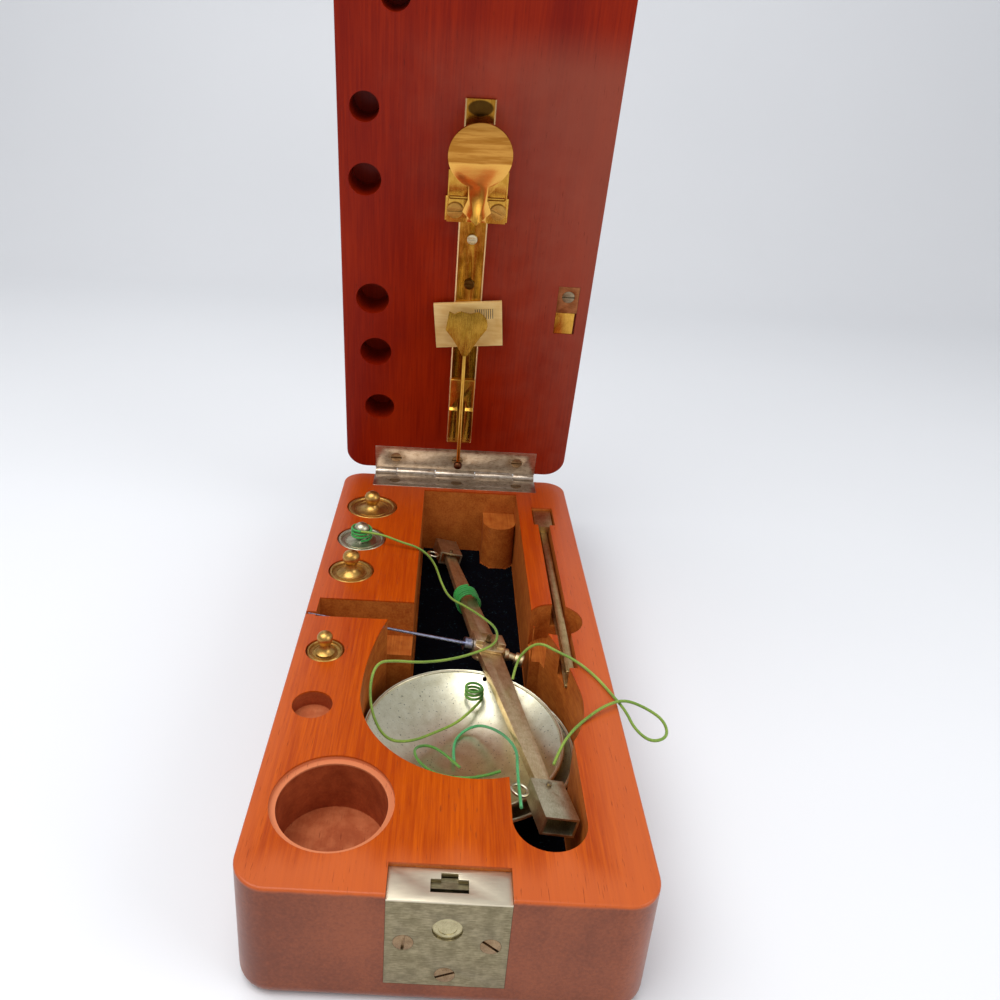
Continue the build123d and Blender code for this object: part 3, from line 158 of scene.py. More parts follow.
teal_route = [
    (0.01700, -0.07300, 0.03040),
    (0.01690, -0.06660, 0.03000),
    (0.01700, -0.05960, 0.02940),
    (0.01760, -0.05130, 0.02740),
    (0.01560, -0.04270, 0.02400),
    (0.01240, -0.03440, 0.01940),
    (0.00860, -0.02780, 0.01460),
    (0.00390, -0.02840, 0.01200),
    (0.00150, -0.03380, 0.01160),
    (0.00220, -0.04060, 0.01220),
]
pan_route = [
    (0.00360, -0.04360, 0.01340),
    (-0.00080, -0.03860, 0.01360),
    (-0.00540, -0.03660, 0.01440),
    (-0.00940, -0.04060, 0.01660),
    (-0.00800, -0.04750, 0.01860),
    (-0.00330, -0.05400, 0.02060),
    (0.00260, -0.05560, 0.02120),
    (0.00860, -0.05520, 0.02160),
    (0.01360, -0.05340, 0.02220),
]
edge_route = [
    (0.01860, -0.01790, 0.02360),
    (0.01960, -0.01420, 0.02700),
    (0.02240, -0.01280, 0.03100),
    (0.02600, -0.01440, 0.03460),
    (0.03040, -0.01760, 0.03420),
    (0.03560, -0.02090, 0.03380),
    (0.04040, -0.02720, 0.03360),
    (0.04400, -0.03520, 0.03360),
    (0.04660, -0.04160, 0.03360),
    (0.04760, -0.04780, 0.03340),
    (0.05100, -0.05240, 0.03320),
    (0.05600, -0.05000, 0.03300),
    (0.05640, -0.04360, 0.03300),
    (0.05200, -0.03920, 0.03340),
    (0.04640, -0.03820, 0.03480),
    (0.04080, -0.04100, 0.03460),
    (0.03580, -0.04500, 0.03380),
    (0.03140, -0.04940, 0.03300),
    (0.02820, -0.05360, 0.03140),
    (0.02600, -0.05860, 0.03020),
]

KNOB_SPOT = Vector((-0.0329, 0.0448, 0.0336))
knob_coil_points = coil_points(KNOB_SPOT, (0, -1, 0), (0, 0, 1), 0.0034, 0.0013, 3)
tangle_points = coil_points(
    (0.0076, -0.0174, 0.0159), (0.839, -0.545, 0), (0, 0, 1), 0.0025, 0.00135, 3
)
beam_way = Vector((0.1806, -0.978, 0.1)).normalized()
beam_across = Vector((0.9587, 0.1526, -0.2393))
beam_up = beam_way.cross(beam_across).normalized()
BEAM_MIDDLE = Vector((0.01163, 0.00218, 0.01965))
beam_coil_points = coil_points(
    BEAM_MIDDLE - beam_way * 0.0360, beam_up, beam_way, 0.00388, 0.0013, 6
)
cords = {
    "cord_long": silk_line("silk_long_run", long_route),
    "cord_teal": silk_line("silk_teal_run", teal_route),
    "cord_pan": silk_line("silk_pan_run", pan_route),
    "cord_edge": silk_line("silk_edge_run", edge_route),
    "cord_knob_winding": silk_line("silk_knob_coil", knob_coil_points),
    "cord_beam_winding": silk_line("silk_beam_coil", beam_coil_points),
    "cord_tangle": silk_line("silk_tangle", tangle_points),
}


class Shade:
    """A shader socket that takes part in sums and feeds further nodes, as 1 - mask does."""

    def __init__(self, tree, socket):
        self.tree = tree
        self.socket = socket

    def node(self, kind, feeds, output=0, first=0, **settings):
        """Adds a node fed by this shade: feeds maps its other sockets to values or shades."""
        made = self.tree.nodes.new("ShaderNode" + kind)
        for name, value in settings.items():
            setattr(made, name, value)
        if first is not None:
            self.tree.links.new(self.socket, made.inputs[first])
        for name, value in feeds.items():
            if isinstance(value, Shade):
                self.tree.links.new(value.socket, made.inputs[name])
            else:
                made.inputs[name].default_value = value
        return Shade(self.tree, made.outputs[output])

    def maths(self, operation, other):
        return self.node("Math", {1: other}, operation=operation)

    def __add__(self, other):
        return self.maths("ADD", other)

    def __sub__(self, other):
        return self.maths("SUBTRACT", other)

    def __rsub__(self, other):
        return self.maths("MULTIPLY", -1.0).maths("ADD", other)

    def __mul__(self, other):
        return self.maths("MULTIPLY", other)

    def scaled(self, x, y, z):
        return self.node("VectorMath", {1: (x, y, z)}, operation="MULTIPLY")

    def noise(self, scale, detail=3.0, roughness=0.55):
        feeds = {"Scale": scale, "Detail": detail, "Roughness": roughness}
        return self.node("TexNoise", feeds)

    def step(self, low, high):
        """Smooth 0 to 1 between two values of this shade."""
        feeds = {1: low, 2: high, 3: 0.0, 4: 1.0}
        return self.node("MapRange", feeds, interpolation_type="SMOOTHSTEP")

    def mix(self, low, high):
        """Colour between two others, with this shade as the share of the second."""
        return self.node("Mix", {6: low, 7: high}, output=2, data_type="RGBA")

    def bump(self, strength, distance):
        feeds = {"Height": self, "Strength": strength, "Distance": distance}
        return self.node("Bump", feeds, first=None)


def paint(red, green, blue):
    """Linear colour from 0 to 255 values as a screen shows them."""
    return (*[((c / 255 + 0.055) / 1.055) ** 2.4 for c in (red, green, blue)], 1)


def new_material(name):
    """A material and its object coordinates."""
    material = bpy.data.materials.new(name)
    material.use_nodes = True
    tree = material.node_tree
    coordinates = tree.nodes.new("ShaderNodeTexCoord")
    return material, Shade(tree, coordinates.outputs["Object"])


def finish_material(material, colour, roughness, normal=None, **constants):
    """Feeds the shader: colour, roughness and normal may vary, the rest are constants."""
    shader = material.node_tree.nodes["Principled BSDF"]
    for socket, value in (("Base Color", colour), ("Roughness", roughness), ("Normal", normal)):
        if isinstance(value, Shade):
            material.node_tree.links.new(value.socket, shader.inputs[socket])
        elif value is not None:
            shader.inputs[socket].default_value = value
    for socket, value in constants.items():
        shader.inputs[socket.replace("_", " ")].default_value = value


def silk(name, light, dark):
    """Twisted silk with a dull sheen and a little uneven dye."""
    material, place = new_material(name)
    twist = place.scaled(1, 1, 1.6).noise(2600, 3, 0.6)
    dye = place.noise(90, 2, 0.5)
    tone = (twist * 0.6 + dye * 0.6 - 0.1).step(0.3, 0.75).mix(paint(*dark), paint(*light))
    finish_material(
        material, tone, twist * 0.2 + 0.45, twist.bump(0.5, 0.0002), Sheen_Weight=0.25
    )
    return material


silk_long = silk("silk_long", (150, 176, 56), (84, 124, 28))
silk_bright = silk("silk_bright", (40, 168, 62), (10, 110, 34))
silk_teal = silk("silk_teal", (84, 182, 112), (24, 128, 66))
silk_green = silk("silk_green", (104, 164, 48), (46, 108, 26))


def take_place(piece, material, *replaced):
    """Gives a piece its material and the body of the nodes that it stands for, and hides them."""
    piece.data.materials.clear()
    piece.data.materials.append(material)
    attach(piece, body_of[replaced[0]])
    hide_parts(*replaced)


for node, material, length, far_end, lay in (
    ("cord_knob_winding", silk_bright, 0.0642, "object", "coiled"),
    ("cord_beam_winding", silk_bright, 0.1464, "bare", "coiled"),
    ("cord_tangle", silk_green, 0.0473, "bare", "coiled"),
    ("cord_long", silk_long, 0.1840, "object", "loose"),
    ("cord_teal", silk_teal, 0.0675, "object", "loose"),
    ("cord_pan", silk_green, 0.0495, "bare", "loose"),
    ("cord_edge", silk_long, 0.1141, "bare", "loose"),
):
    piece = cords[node]
    take_place(piece, material, node)

# Light and floor: a pale table under a broad white light, with two large soft lamps.
world = bpy.data.worlds.new("room")
bpy.context.scene.world = world
world.use_nodes = True
room = world.node_tree
sky = room.nodes["Background"]
rays = room.nodes.new("ShaderNodeLightPath")
seen = room.nodes.new("ShaderNodeMath")
seen.operation = "MAXIMUM"
room.links.new(rays.outputs["Is Camera Ray"], seen.inputs[0])
room.links.new(rays.outputs["Is Transmission Ray"], seen.inputs[1])
tint = room.nodes.new("ShaderNodeMix")
tint.data_type = "RGBA"
tint.inputs[6].default_value = (0.47, 0.48, 0.50, 1)
tint.inputs[7].default_value = (0.86, 0.87, 0.90, 1)
room.links.new(seen.outputs[0], tint.inputs[0])
room.links.new(tint.outputs[2], sky.inputs["Color"])
sky.inputs["Strength"].default_value = 1.0
bpy.context.scene.view_settings.view_transform = "Standard"

for lamp_name, place, target, size, power in (
    ("lamp_over", (-0.25, -0.15, 0.75), (0, 0, 0.03), 0.7, 5.4),
    ("lamp_right", (0.7, -0.35, 0.5), (0, 0, 0.08), 0.5, 2.2),
):
    lamp_data = bpy.data.lights.new(lamp_name, "AREA")
    lamp_data.size = size
    lamp_data.energy = power
    lamp = bpy.data.objects.new(lamp_name, lamp_data)
    lamp.location = place
    lamp.rotation_euler = (Vector(target) - Vector(place)).to_track_quat("-Z", "Y").to_euler()
    bpy.context.scene.collection.objects.link(lamp)

sweep = [(-1.6, 0.0), (0.55, 0.0)]
for step in range(1, 17):
    bend = math.radians(90 * step / 16)
    sweep.append((0.55 + 0.30 * math.sin(bend), 0.30 - 0.30 * math.cos(bend)))
sweep.append((0.85, 1.5))
floor_corners = [(side, y, z) for y, z in sweep for side in (-2.2, 2.2)]
floor_faces = [(2 * k, 2 * k + 1, 2 * k + 3, 2 * k + 2) for k in range(len(sweep) - 1)]
floor_data = bpy.data.meshes.new("floor")
floor_data.from_pydata(floor_corners, [], floor_faces)
floor_data.shade_smooth()
table_top, point = new_material("table_top")
finish_material(table_top, point.noise(6).mix((0.80, 0.81, 0.83, 1), (0.83, 0.84, 0.86, 1)), 0.5)
floor_data.materials.append(table_top)
floor = bpy.data.objects.new("floor", floor_data)
bpy.context.scene.collection.objects.link(floor)
floor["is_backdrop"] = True

# Case: one block of mahogany hollowed for the balance, the weights and the tweezers, with a
# quarter-round post glued in its corner. It is orange-red and finely grained on top, pinkish
# along the margins, duller outside and raw inside the hollows.
def axis_value(point, direction):
    """How far the point lies along a direction, as a shade."""
    return point.node("VectorMath", {1: direction}, output=1, operation="DOT_PRODUCT")


def kept_form(node, material):
    """A CAD node whose own mesh stays, in its finish."""
    nodes[node].data.materials.clear()
    nodes[node].data.materials.append(material)


mahogany_base, point = new_material("mahogany_base")
across = axis_value(point, (1, 0, 0))
height = axis_value(point, (0, 0, 1))
length = axis_value(point, (0, 1, 0))
streaks = point.scaled(1, 0.03, 1).noise(1500, 5, 0.65)
figure = point.scaled(1, 0.22, 0.6).noise(70, 3, 0.5)
pores = point.scaled(1, 0.07, 1).noise(3200, 2, 0.5).step(0.66, 0.74)
top_colour = (streaks * 0.75 + figure * 0.45 - 0.1).step(0.3, 0.75).mix(
    paint(156, 54, 0), paint(200, 88, 2)
)
ageing = (length + figure * 0.02).step(-0.085, 0.105)
top_colour = (ageing * 0.5).mix(top_colour, paint(150, 42, 2))
margin = (across + figure * 0.010).step(0.034, 0.046)
margin = margin.maths("MAXIMUM", (figure * 0.006 - across).step(0.040, 0.050))
margin = margin.maths("MAXIMUM", (figure * 0.02 - length).step(0.096, 0.106))
top_colour = (margin * (0.78 - ageing * 0.35)).mix(top_colour, paint(194, 94, 46))
side_colour = (figure * 0.6 + streaks * 0.5).step(0.35, 0.8).mix(
    paint(116, 56, 33), paint(154, 81, 48)
)
blotches = point.noise(260, 4, 0.6)
specks = point.noise(2200, 2, 0.5).step(0.68, 0.76)
raw_colour = (blotches * 0.5 + streaks * 0.6).step(0.3, 0.8).mix(
    paint(146, 64, 10), paint(190, 108, 40)
)
wall_colour = (blotches * 0.6 + streaks * 0.3).step(0.25, 0.7).mix(
    paint(132, 52, 22), paint(174, 82, 42)
)
dusty = blotches.step(0.35, 0.7).mix(paint(226, 128, 78), paint(250, 166, 112))
dusty = (specks * 0.8).mix(dusty, paint(70, 30, 20))
for middle, radius, floor_low, floor_high, ledge in (
    ((-0.0265, -0.0764, 0), 0.0147, 0.0170, 0.0184, 0.0312),
    ((-0.0362, -0.0443, 0), 0.0058, 0.0277, 0.0288, 0.0400),
):
    reach = point.scaled(1, 1, 0).node("VectorMath", {1: middle}, output=1, operation="DISTANCE")
    hollow = 1 - reach.step(radius - 0.0001, radius)
    floor_share = 1 - height.step(floor_low, floor_high)
    ledge_share = height.step(ledge, ledge + 0.0004)
    lining = floor_share.mix(wall_colour, dusty)
    lining = ledge_share.mix(lining, paint(206, 122, 80))
    raw_colour = hollow.mix(raw_colour, lining)
past_x = (across.maths("ABSOLUTE", 0.0) - 0.037).maths("MAXIMUM", 0.0)
past_y = (length.maths("ABSOLUTE", 0.0) - 0.092).maths("MAXIMUM", 0.0)
corner = (past_x * past_x + past_y * past_y).maths("SQRT", 0.0)
inside = (1 - height.step(0.0322, 0.0328)) * height.step(0.0045, 0.0050)
inside = inside * (1 - corner.step(0.0075, 0.0078))
outside = 1 - (height - blotches * 0.0012).step(0.0312, 0.0322)
colour = outside.mix(top_colour, side_colour)
colour = inside.mix(colour, raw_colour)
colour = (pores * 0.45).mix(colour, paint(92, 28, 12))
finish_material(
    mahogany_base,
    colour,
    inside * 0.34 + (blotches * 0.14 + 0.24),
    (streaks * 0.4 - pores * 0.6).bump(0.25, 0.0002),
    Specular_IOR_Level=0.2,
    Coat_Weight=0.08,
    Coat_Roughness=0.18,
)
kept_form("case_base", mahogany_base)
kept_form("corner_post", mahogany_base)

# Lid: a mahogany board with six recesses for the weights' knobs. It is a deeper red, with a
# pinkish painted reflection of the bright room towards the free edge, and its grain follows the
# tilted board.
TILT = math.radians(76.75)
PIVOT = Vector((0, 0.1021, 0.03325))
UP_LID = Vector((0, -math.cos(TILT), math.sin(TILT)))
OFF_LID = Vector((0, -math.sin(TILT), -math.cos(TILT)))
mahogany_lid, point = new_material("mahogany_lid")
across = axis_value(point, (1, 0, 0))
along = axis_value(point, UP_LID)
proud = axis_value(point, OFF_LID)
leaf = across.node("CombineXYZ", {1: along, 2: proud})
streaks = leaf.scaled(1, 0.03, 1).noise(1400, 5, 0.65)
figure = leaf.scaled(1, 0.2, 0.6).noise(60, 3, 0.5)
pores = leaf.scaled(1, 0.07, 1).noise(3000, 2, 0.5).step(0.66, 0.74)
blotches = leaf.noise(120, 4, 0.6)
colour = (streaks * 0.6 + figure * 0.6 - 0.1).step(0.3, 0.75).mix(
    paint(120, 18, 1), paint(152, 36, 1)
)
# Painted reflection: a pinkish haze rising to the right and towards the free edge, cut off near the
# top.
painted_reflection = (across * 0.8 + along * 0.28 + blotches * 0.03).step(0.028, 0.095)
painted_reflection = painted_reflection * (1 - along.step(0.166, 0.184))
colour = (painted_reflection * 0.62).mix(colour, paint(150, 82, 64))
colour = (pores * 0.4).mix(colour, paint(70, 20, 8))
finish_material(
    mahogany_lid,
    colour,
    blotches * 0.16 + 0.24,
    (streaks * 0.4 - pores * 0.6).bump(0.2, 0.0002),
    Specular_IOR_Level=0.1,
    Coat_Weight=0.04,
    Coat_Roughness=0.2,
)
kept_form("lid", mahogany_lid)


# Hinge: a nickelled butt hinge across the back, its leaves screwed into case and lid with
# three wood screws each. Metals here are tarnished in soft blotches over fine scratches.
def metal(name, bright, dull, smooth, rough, grain=(1, 1, 1), specks=0.0):
    """Metal between a bright and a dull colour, with fine scratches along its grain."""
    material, place = new_material(name)
    blotch = place.noise(420, 4, 0.6)
    fine = place.scaled(*grain).noise(5200, 3, 0.6)
    tone = (blotch * 0.55 + fine * 0.55 - 0.05).step(0.25, 0.75).mix(paint(*dull), paint(*bright))
    if specks:
        spots = place.noise(1700, 1, 0.4).step(0.69, 0.75) * specks
        tone = spots.mix(tone, paint(66, 58, 40))
    finish_material(
        material,
        tone,
        fine * (rough - smooth) + (blotch * 0.06 + smooth - 0.03),
        fine.bump(0.12, 0.0001),
        Metallic=1.0,
    )
    return material


def dress(node, material, arris):
    """A merged copy of a node, flat faces made whole and sharp edges rounded to the arris."""
    mesh = nodes[node].data.copy()
    shape = bmesh.new()
    shape.from_mesh(mesh)
    bmesh.ops.remove_doubles(shape, verts=shape.verts, dist=2e-6)
    bmesh.ops.dissolve_limit(
        shape, angle_limit=math.radians(0.6), verts=shape.verts, edges=shape.edges
    )
    sharp = [
        edge
        for edge in shape.edges
        if len(edge.link_faces) == 2 and edge.calc_face_angle(0) > math.radians(32)
    ]
    if arris:
        bmesh.ops.bevel(
            shape,
            geom=sharp,
            offset=arris,
            segments=2,
            profile=0.6,
            affect="EDGES",
            clamp_overlap=True,
        )
    shape.to_mesh(mesh)
    shape.free()
    mesh.shade_smooth()
    mesh.set_sharp_from_angle(angle=math.radians(35))
    piece = bpy.data.objects.new(node + "_dressed", mesh)
    bpy.context.scene.collection.objects.link(piece)
    take_place(piece, material, node)


hinge_nickel = metal("hinge_nickel", (214, 202, 186), (158, 138, 118), 0.20, 0.40, (0.1, 1, 1), 0.3)
screw_steel = metal("screw_steel", (176, 150, 116), (112, 84, 58), 0.25, 0.45, (1, 0.2, 1), 0.4)
kept_form("hinge_pin", hinge_nickel)
dress("hinge_leaf_case", hinge_nickel, 0.00015)
dress("hinge_leaf_lid", hinge_nickel, 0.00015)
dress("hinge_screws_case", screw_steel, 0.00010)
dress("hinge_screws_lid", screw_steel, 0.00010)

# Lock: a bent plate let into the front, its bent-over top painted paler than its brushed face as a
# painted highlight, with a push button, a catch and a flat spring behind it. The hook on the lid's
# strike plate drops through the slot. Three screws hold the plate, their slots turned different
# ways.
lock_face, point = new_material("lock_face")
height = axis_value(point, (0, 0, 1))
brushed = point.scaled(0.1, 1, 1).noise(4200, 3, 0.6)
clouds = point.noise(380, 4, 0.6)
colour = (clouds * 0.5 + brushed * 0.55 - 0.05).step(0.3, 0.75).mix(
    paint(116, 106, 80), paint(176, 164, 132)
)
# Painted highlight: the bent-over top, above 31.2 mm, is painted pale.
colour = (height.step(0.0312, 0.0316) * 0.85).mix(colour, paint(238, 226, 200))
finish_material(
    lock_face, colour, brushed * 0.2 + 0.3, brushed.bump(0.12, 0.0001), Metallic=1.0
)
lock_brass = metal("lock_brass", (166, 156, 126), (112, 102, 76), 0.32, 0.52, (0.1, 1, 1), 0.4)
button_nickel = metal("button_nickel", (206, 196, 156), (160, 148, 112), 0.22, 0.36)
plain_steel = metal("plain_steel", (168, 150, 122), (112, 96, 72), 0.25, 0.45, (1, 0.1, 1), 0.3)
kept_form("lock_spring", plain_steel)
kept_form("lock_catch", lock_brass)
dress("lock_plate", lock_face, 0.00020)
dress("lock_button", button_nickel, 0.00040)
dress("strike_plate", lock_brass, 0.00015)
dress("strike_hook", lock_brass, 0.00015)
dress("lock_screws", screw_steel, 0.00010)


def turn_heads(node, axis, heads):
    """Turns each screw of a dressed node about its own axis: heads are centres and degrees."""
    for vertex in bpy.data.objects[node + "_dressed"].data.vertices:
        centre, angle = min(heads, key=lambda head: (vertex.co - Vector(head[0])).length)
        turning = Matrix.Rotation(math.radians(angle), 3, axis)
        vertex.co = turning @ (vertex.co - Vector(centre)) + Vector(centre)


turn_heads(
    "lock_screws",
    Vector((0, -1, 0)),
    (
        ((-0.0085, -0.1, 0.0194), 86),
        ((0.0098, -0.1, 0.0194), -40),
        ((0.0006, -0.1, 0.0100), 24),
    ),
)

# Strip: a brass pillar plate flat on the lid, with a painted highlight on its broken edges and a
# dark painted reflection in an oval above the guard disc. Its upper screw is bright and its lower
# one dark.
strip_brass, point = new_material("strip_brass")
across = axis_value(point, (1, 0, 0))
along = axis_value(point, UP_LID)
fine = point.scaled(1, 0.08, 0.08).noise(3600, 3, 0.6)
blotches = point.noise(300, 3, 0.6)
colour = (fine * 0.5 + blotches * 0.6 - 0.05).step(0.3, 0.75).mix(
    paint(150, 96, 22), paint(206, 152, 60)
)
# Painted highlight along the strip's broken edges.
edge = (across - 0.0008).maths("ABSOLUTE", 0.0).step(0.0044, 0.0046)
colour = (edge * 0.8).mix(colour, paint(246, 206, 150))
# Painted reflection: a dark oval above the guard disc.
oval_x = (across - 0.0008) * 240.0
oval_y = (along - 0.1572) * 400.0
painted_reflection_oval = 1 - (oval_x * oval_x + oval_y * oval_y).step(0.75, 1.15)
colour = (painted_reflection_oval * 0.9).mix(colour, paint(60, 38, 14))
finish_material(strip_brass, colour, fine * 0.14 + 0.14, fine.bump(0.12, 0.0001), Metallic=1.0)

strip_screws, point = new_material("strip_screws")
along = axis_value(point, UP_LID)
fine = point.noise(3600, 3, 0.6)
colour = fine.mix(paint(196, 180, 140), paint(236, 224, 188))
colour = (1 - along.step(0.105, 0.106)).mix(colour, paint(92, 62, 26))
finish_material(strip_screws, colour, fine * 0.14 + 0.22, fine.bump(0.1, 0.0001), Metallic=1.0)
dress("pillar_strip", strip_brass, 0.00008)
dress("pillar_screws", strip_screws, 0.00010)

# Bearings: the polished brass bracket and cradle that the beam hangs in when the lid stands
# open, with the yoke and the fork of the plumb lever, all on the strip by two large screws.
pillar_brass = metal("pillar_brass", (222, 172, 78), (178, 124, 42), 0.14, 0.28, (1, 0.06, 0.06))
screw_brass = metal("screw_brass", (214, 164, 84), (150, 104, 46), 0.22, 0.40, (1, 0.2, 1))
dress("bearing_bracket", pillar_brass, 0.00020)
dress("cradle_plate", pillar_brass, 0.00012)
dress("plumb_yoke", pillar_brass, 0.00010)
dress("guide_fork", pillar_brass, 0.00018)
dress("bracket_screws", screw_brass, 0.00012)
BRACKET_REACH = 0.1167
bracket_middle = PIVOT + UP_LID * BRACKET_REACH
turn_heads(
    "bracket_screws",
    OFF_LID,
    (
        (bracket_middle + Vector((-0.0057, 0, 0)), 4),
        (bracket_middle + Vector((0.0087, 0, 0)), -26),
    ),
)

# Guard: a polished brass disc on a waisted stem in front of the cradle. Its colour is a painted
# reflection: pale below like the table, dark and streaked above like the room.
mirror_brass, point = new_material("mirror_brass")
along = axis_value(point, UP_LID)
streak = point.scaled(0.08, 1, 1).noise(700, 4, 0.6)
# Painted reflection: the lower part is painted pale like the table, the streaked upper part dark
# like the room.
painted_table_reflection = 1 - (along - streak * 0.0016).step(0.1416, 0.1423)
colour = (streak * 1.4 - 0.2).step(0.3, 0.7).mix(paint(166, 108, 40), paint(204, 146, 68))
colour = painted_table_reflection.mix(colour, paint(228, 172, 84))
finish_material(
    mirror_brass, colour, streak * 0.1 + 0.1, streak.bump(0.06, 0.0001), Metallic=1.0
)
dress("guard_plate", mirror_brass, 0.00018)

# Clip: a small coppery plate screwed to the lid at the right, with a sprung brass tab.
clip_copper = metal("clip_copper", (176, 112, 70), (120, 70, 40), 0.28, 0.45, (0.2, 1, 1))
dress("clip_plate", clip_copper, 0.00015)
dress("clip_tab", pillar_brass, 0.00015)
dress("clip_screw", plain_steel, 0.00010)

# Scale: an ivory plate set a little askew under the yoke. Its nine divisions are engraved and
# filled with ink, the middle one longer than the others.
ivory, point = new_material("ivory")
lines = point.scaled(0.12, 1, 1).noise(900, 4, 0.6)
stain = point.noise(160, 3, 0.5)
colour = (lines * 0.5 + stain * 0.6).step(0.35, 0.75).mix(paint(208, 164, 92), paint(228, 194, 128))
finish_material(ivory, colour, 0.32, lines.bump(0.1, 0.0001), Coat_Weight=0.3, Coat_Roughness=0.2)

ink, point = new_material("ink")
finish_material(ink, point.noise(900).mix(paint(28, 22, 18), paint(66, 52, 40)), 0.6)
dress("scale_plate", ivory, 0.00018)
PLATE_TURN = math.radians(5.5)
PLATE_MIDDLE = Vector((0.0015, 0.0723, 0.00295))
LINE_COUNT, LINE_PITCH, LINE_WIDTH = 9, 0.00079, 0.00024
LINES_MIDDLE, LINES_TOP, LINE_LIFT = 0.0058, 0.0063, 0.0001
scale_line_pieces = []
for number in range(LINE_COUNT):
    place = number - LINE_COUNT // 2
    line_length = 0.0040 if place else 0.0070
    bpy.ops.mesh.primitive_plane_add(size=1, calc_uvs=False)
    line = bpy.context.object
    line.scale = (LINE_WIDTH, line_length, 1)
    line.location = (LINES_MIDDLE + place * LINE_PITCH, LINES_TOP - line_length / 2, 0)
    scale_line_pieces.append(line)
bpy.ops.object.select_all(action="DESELECT")
for line in scale_line_pieces:
    line.select_set(True)
bpy.ops.object.join()
scale_lines = bpy.context.object
scale_lines.name = scale_lines.data.name = "scale_lines"
bpy.ops.object.transform_apply(location=True, rotation=True, scale=True)
plate_x = Matrix.Rotation(PLATE_TURN, 3, OFF_LID) @ Vector((1, 0, 0))
plate_y = OFF_LID.cross(plate_x)
middle = PIVOT + UP_LID * PLATE_MIDDLE.y + OFF_LID * (PLATE_MIDDLE.z - LINE_LIFT)
middle.x += PLATE_MIDDLE.x
on_plate = Matrix((plate_x, plate_y, OFF_LID)).transposed().to_4x4()
scale_lines.data.transform(Matrix.Translation(middle) @ on_plate)
scale_lines.data.materials.append(ink)
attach(scale_lines, body_of["scale_plate"])

# Plumb lever: a brass rod on a steel pin in the yoke, with a heart-shaped shield in front of
# the scale and a small dark ball at its foot.
shield_brass = metal("shield_brass", (196, 148, 60), (146, 102, 26), 0.2, 0.34, (1, 0.06, 0.06))
ball_metal = metal("ball_metal", (112, 66, 40), (66, 36, 22), 0.3, 0.5)
kept_form("plumb_pin", plain_steel)
dress("plumb_shield", shield_brass, 0.00015)
dress("plumb_rod", pillar_brass, 0.00010)
dress("plumb_ball", ball_metal, 0)


# Weights: three brass and one nickelled, turned with a stepped rim, a dished top, a collar and
# a flattened knob to lift them by.
def turned(node, centre, profile, material):
    """Turned body, drawn up ring by ring from its foot: the profile is radii and heights."""
    radius, rise = profile[0]
    bpy.ops.object.select_all(action="DESELECT")
    bpy.ops.mesh.primitive_circle_add(
        vertices=96,
        radius=radius,
        fill_type="NGON",
        calc_uvs=False,
        location=(*centre, rise),
    )
    piece = bpy.context.object
    piece.name = piece.data.name = node + "_turned"
    bpy.ops.object.transform_apply(location=True, rotation=True, scale=True)
    bpy.ops.object.mode_set(mode="EDIT")
    bpy.ops.mesh.select_mode(type="FACE")
    bpy.ops.mesh.select_all(action="SELECT")
    for next_radius, next_rise in profile[1:]:
        bpy.ops.mesh.extrude_region_move(
            TRANSFORM_OT_translate={"value": (0, 0, next_rise - rise)}
        )
        if next_radius == 0:
            bpy.ops.mesh.merge(type="CENTER")
            break
        share = next_radius / radius
        bpy.ops.transform.resize(
            value=(share, share, 1), center_override=(*centre, next_rise)
        )
        radius, rise = next_radius, next_rise
    bpy.ops.mesh.select_all(action="SELECT")
    bpy.ops.mesh.normals_make_consistent(inside=False)
    bpy.ops.object.mode_set(mode="OBJECT")
    bpy.ops.object.shade_smooth_by_angle(angle=math.radians(38))
    take_place(piece, material, node)


weight_brass = metal("weight_brass", (212, 170, 96), (164, 120, 56), 0.30, 0.44, (0.3, 0.3, 1))
weight_nickel = metal("weight_nickel", (206, 202, 176), (166, 158, 130), 0.28, 0.42, (1, 1, 1), 0.4)
for node, neck, knob, knob_height, material in (
    ("weight_first", 0.0019, 0.0030, 0.0064, weight_brass),
    ("weight_second", 0.0017, 0.0027, 0.0062, weight_nickel),
    ("weight_third", 0.0018, 0.0029, 0.0076, weight_brass),
    ("weight_fourth", 0.0015, 0.0023, 0.0062, weight_brass),
):
    low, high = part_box(node)
    centre = ((low[0] + high[0]) / 2, (low[1] + high[1]) / 2)
    rim = (high[0] - low[0]) / 2
    top = high[2] - knob_height
    middle = high[2] - 0.86 * knob
    turned(
        node,
        centre,
        (
            (rim - 0.0003, low[2]),
            (rim, low[2] + 0.0003),
            (rim, top - 0.0004),
            (rim - 0.00035, top),
            (0.88 * rim, top),
            (0.85 * rim, top - 0.00025),
            (0.84 * rim, top - 0.0006),
            (0.70 * rim, top - 0.0007),
            (0.69 * rim, top - 0.0005),
            (0.66 * rim, top - 0.0005),
            (0.65 * rim, top - 0.0007),
            (0.50 * rim, top - 0.0006),
            (neck + 0.0014, top - 0.0002),
            (neck + 0.0008, top + 0.0002),
            (neck + 0.0003, top + 0.0007),
            (neck, top + 0.0012),
            (neck, middle - 0.80 * knob),
            (neck + 0.0003, middle - 0.74 * knob),
            (0.80 * knob, middle - 0.56 * knob),
            (0.95 * knob, middle - 0.28 * knob),
            (knob, middle),
            (0.95 * knob, middle + 0.28 * knob),
            (0.80 * knob, middle + 0.54 * knob),
            (0.55 * knob, middle + 0.75 * knob),
            (0.30 * knob, middle + 0.83 * knob),
            (0.12 * knob, middle + 0.86 * knob),
            (0, high[2]),
        ),
        material,
    )

# Tweezers: two sprung brass legs riveted into a square head, in their slot on the right.
tweezer_brass = metal("tweezer_brass", (222, 196, 144), (176, 146, 92), 0.24, 0.42, (1, 0.1, 1))
dress("tweezer_head", tweezer_brass, 0.00015)
dress("tweezer_leg_upper", tweezer_brass, 0.00012)
dress("tweezer_leg_lower", tweezer_brass, 0.00012)

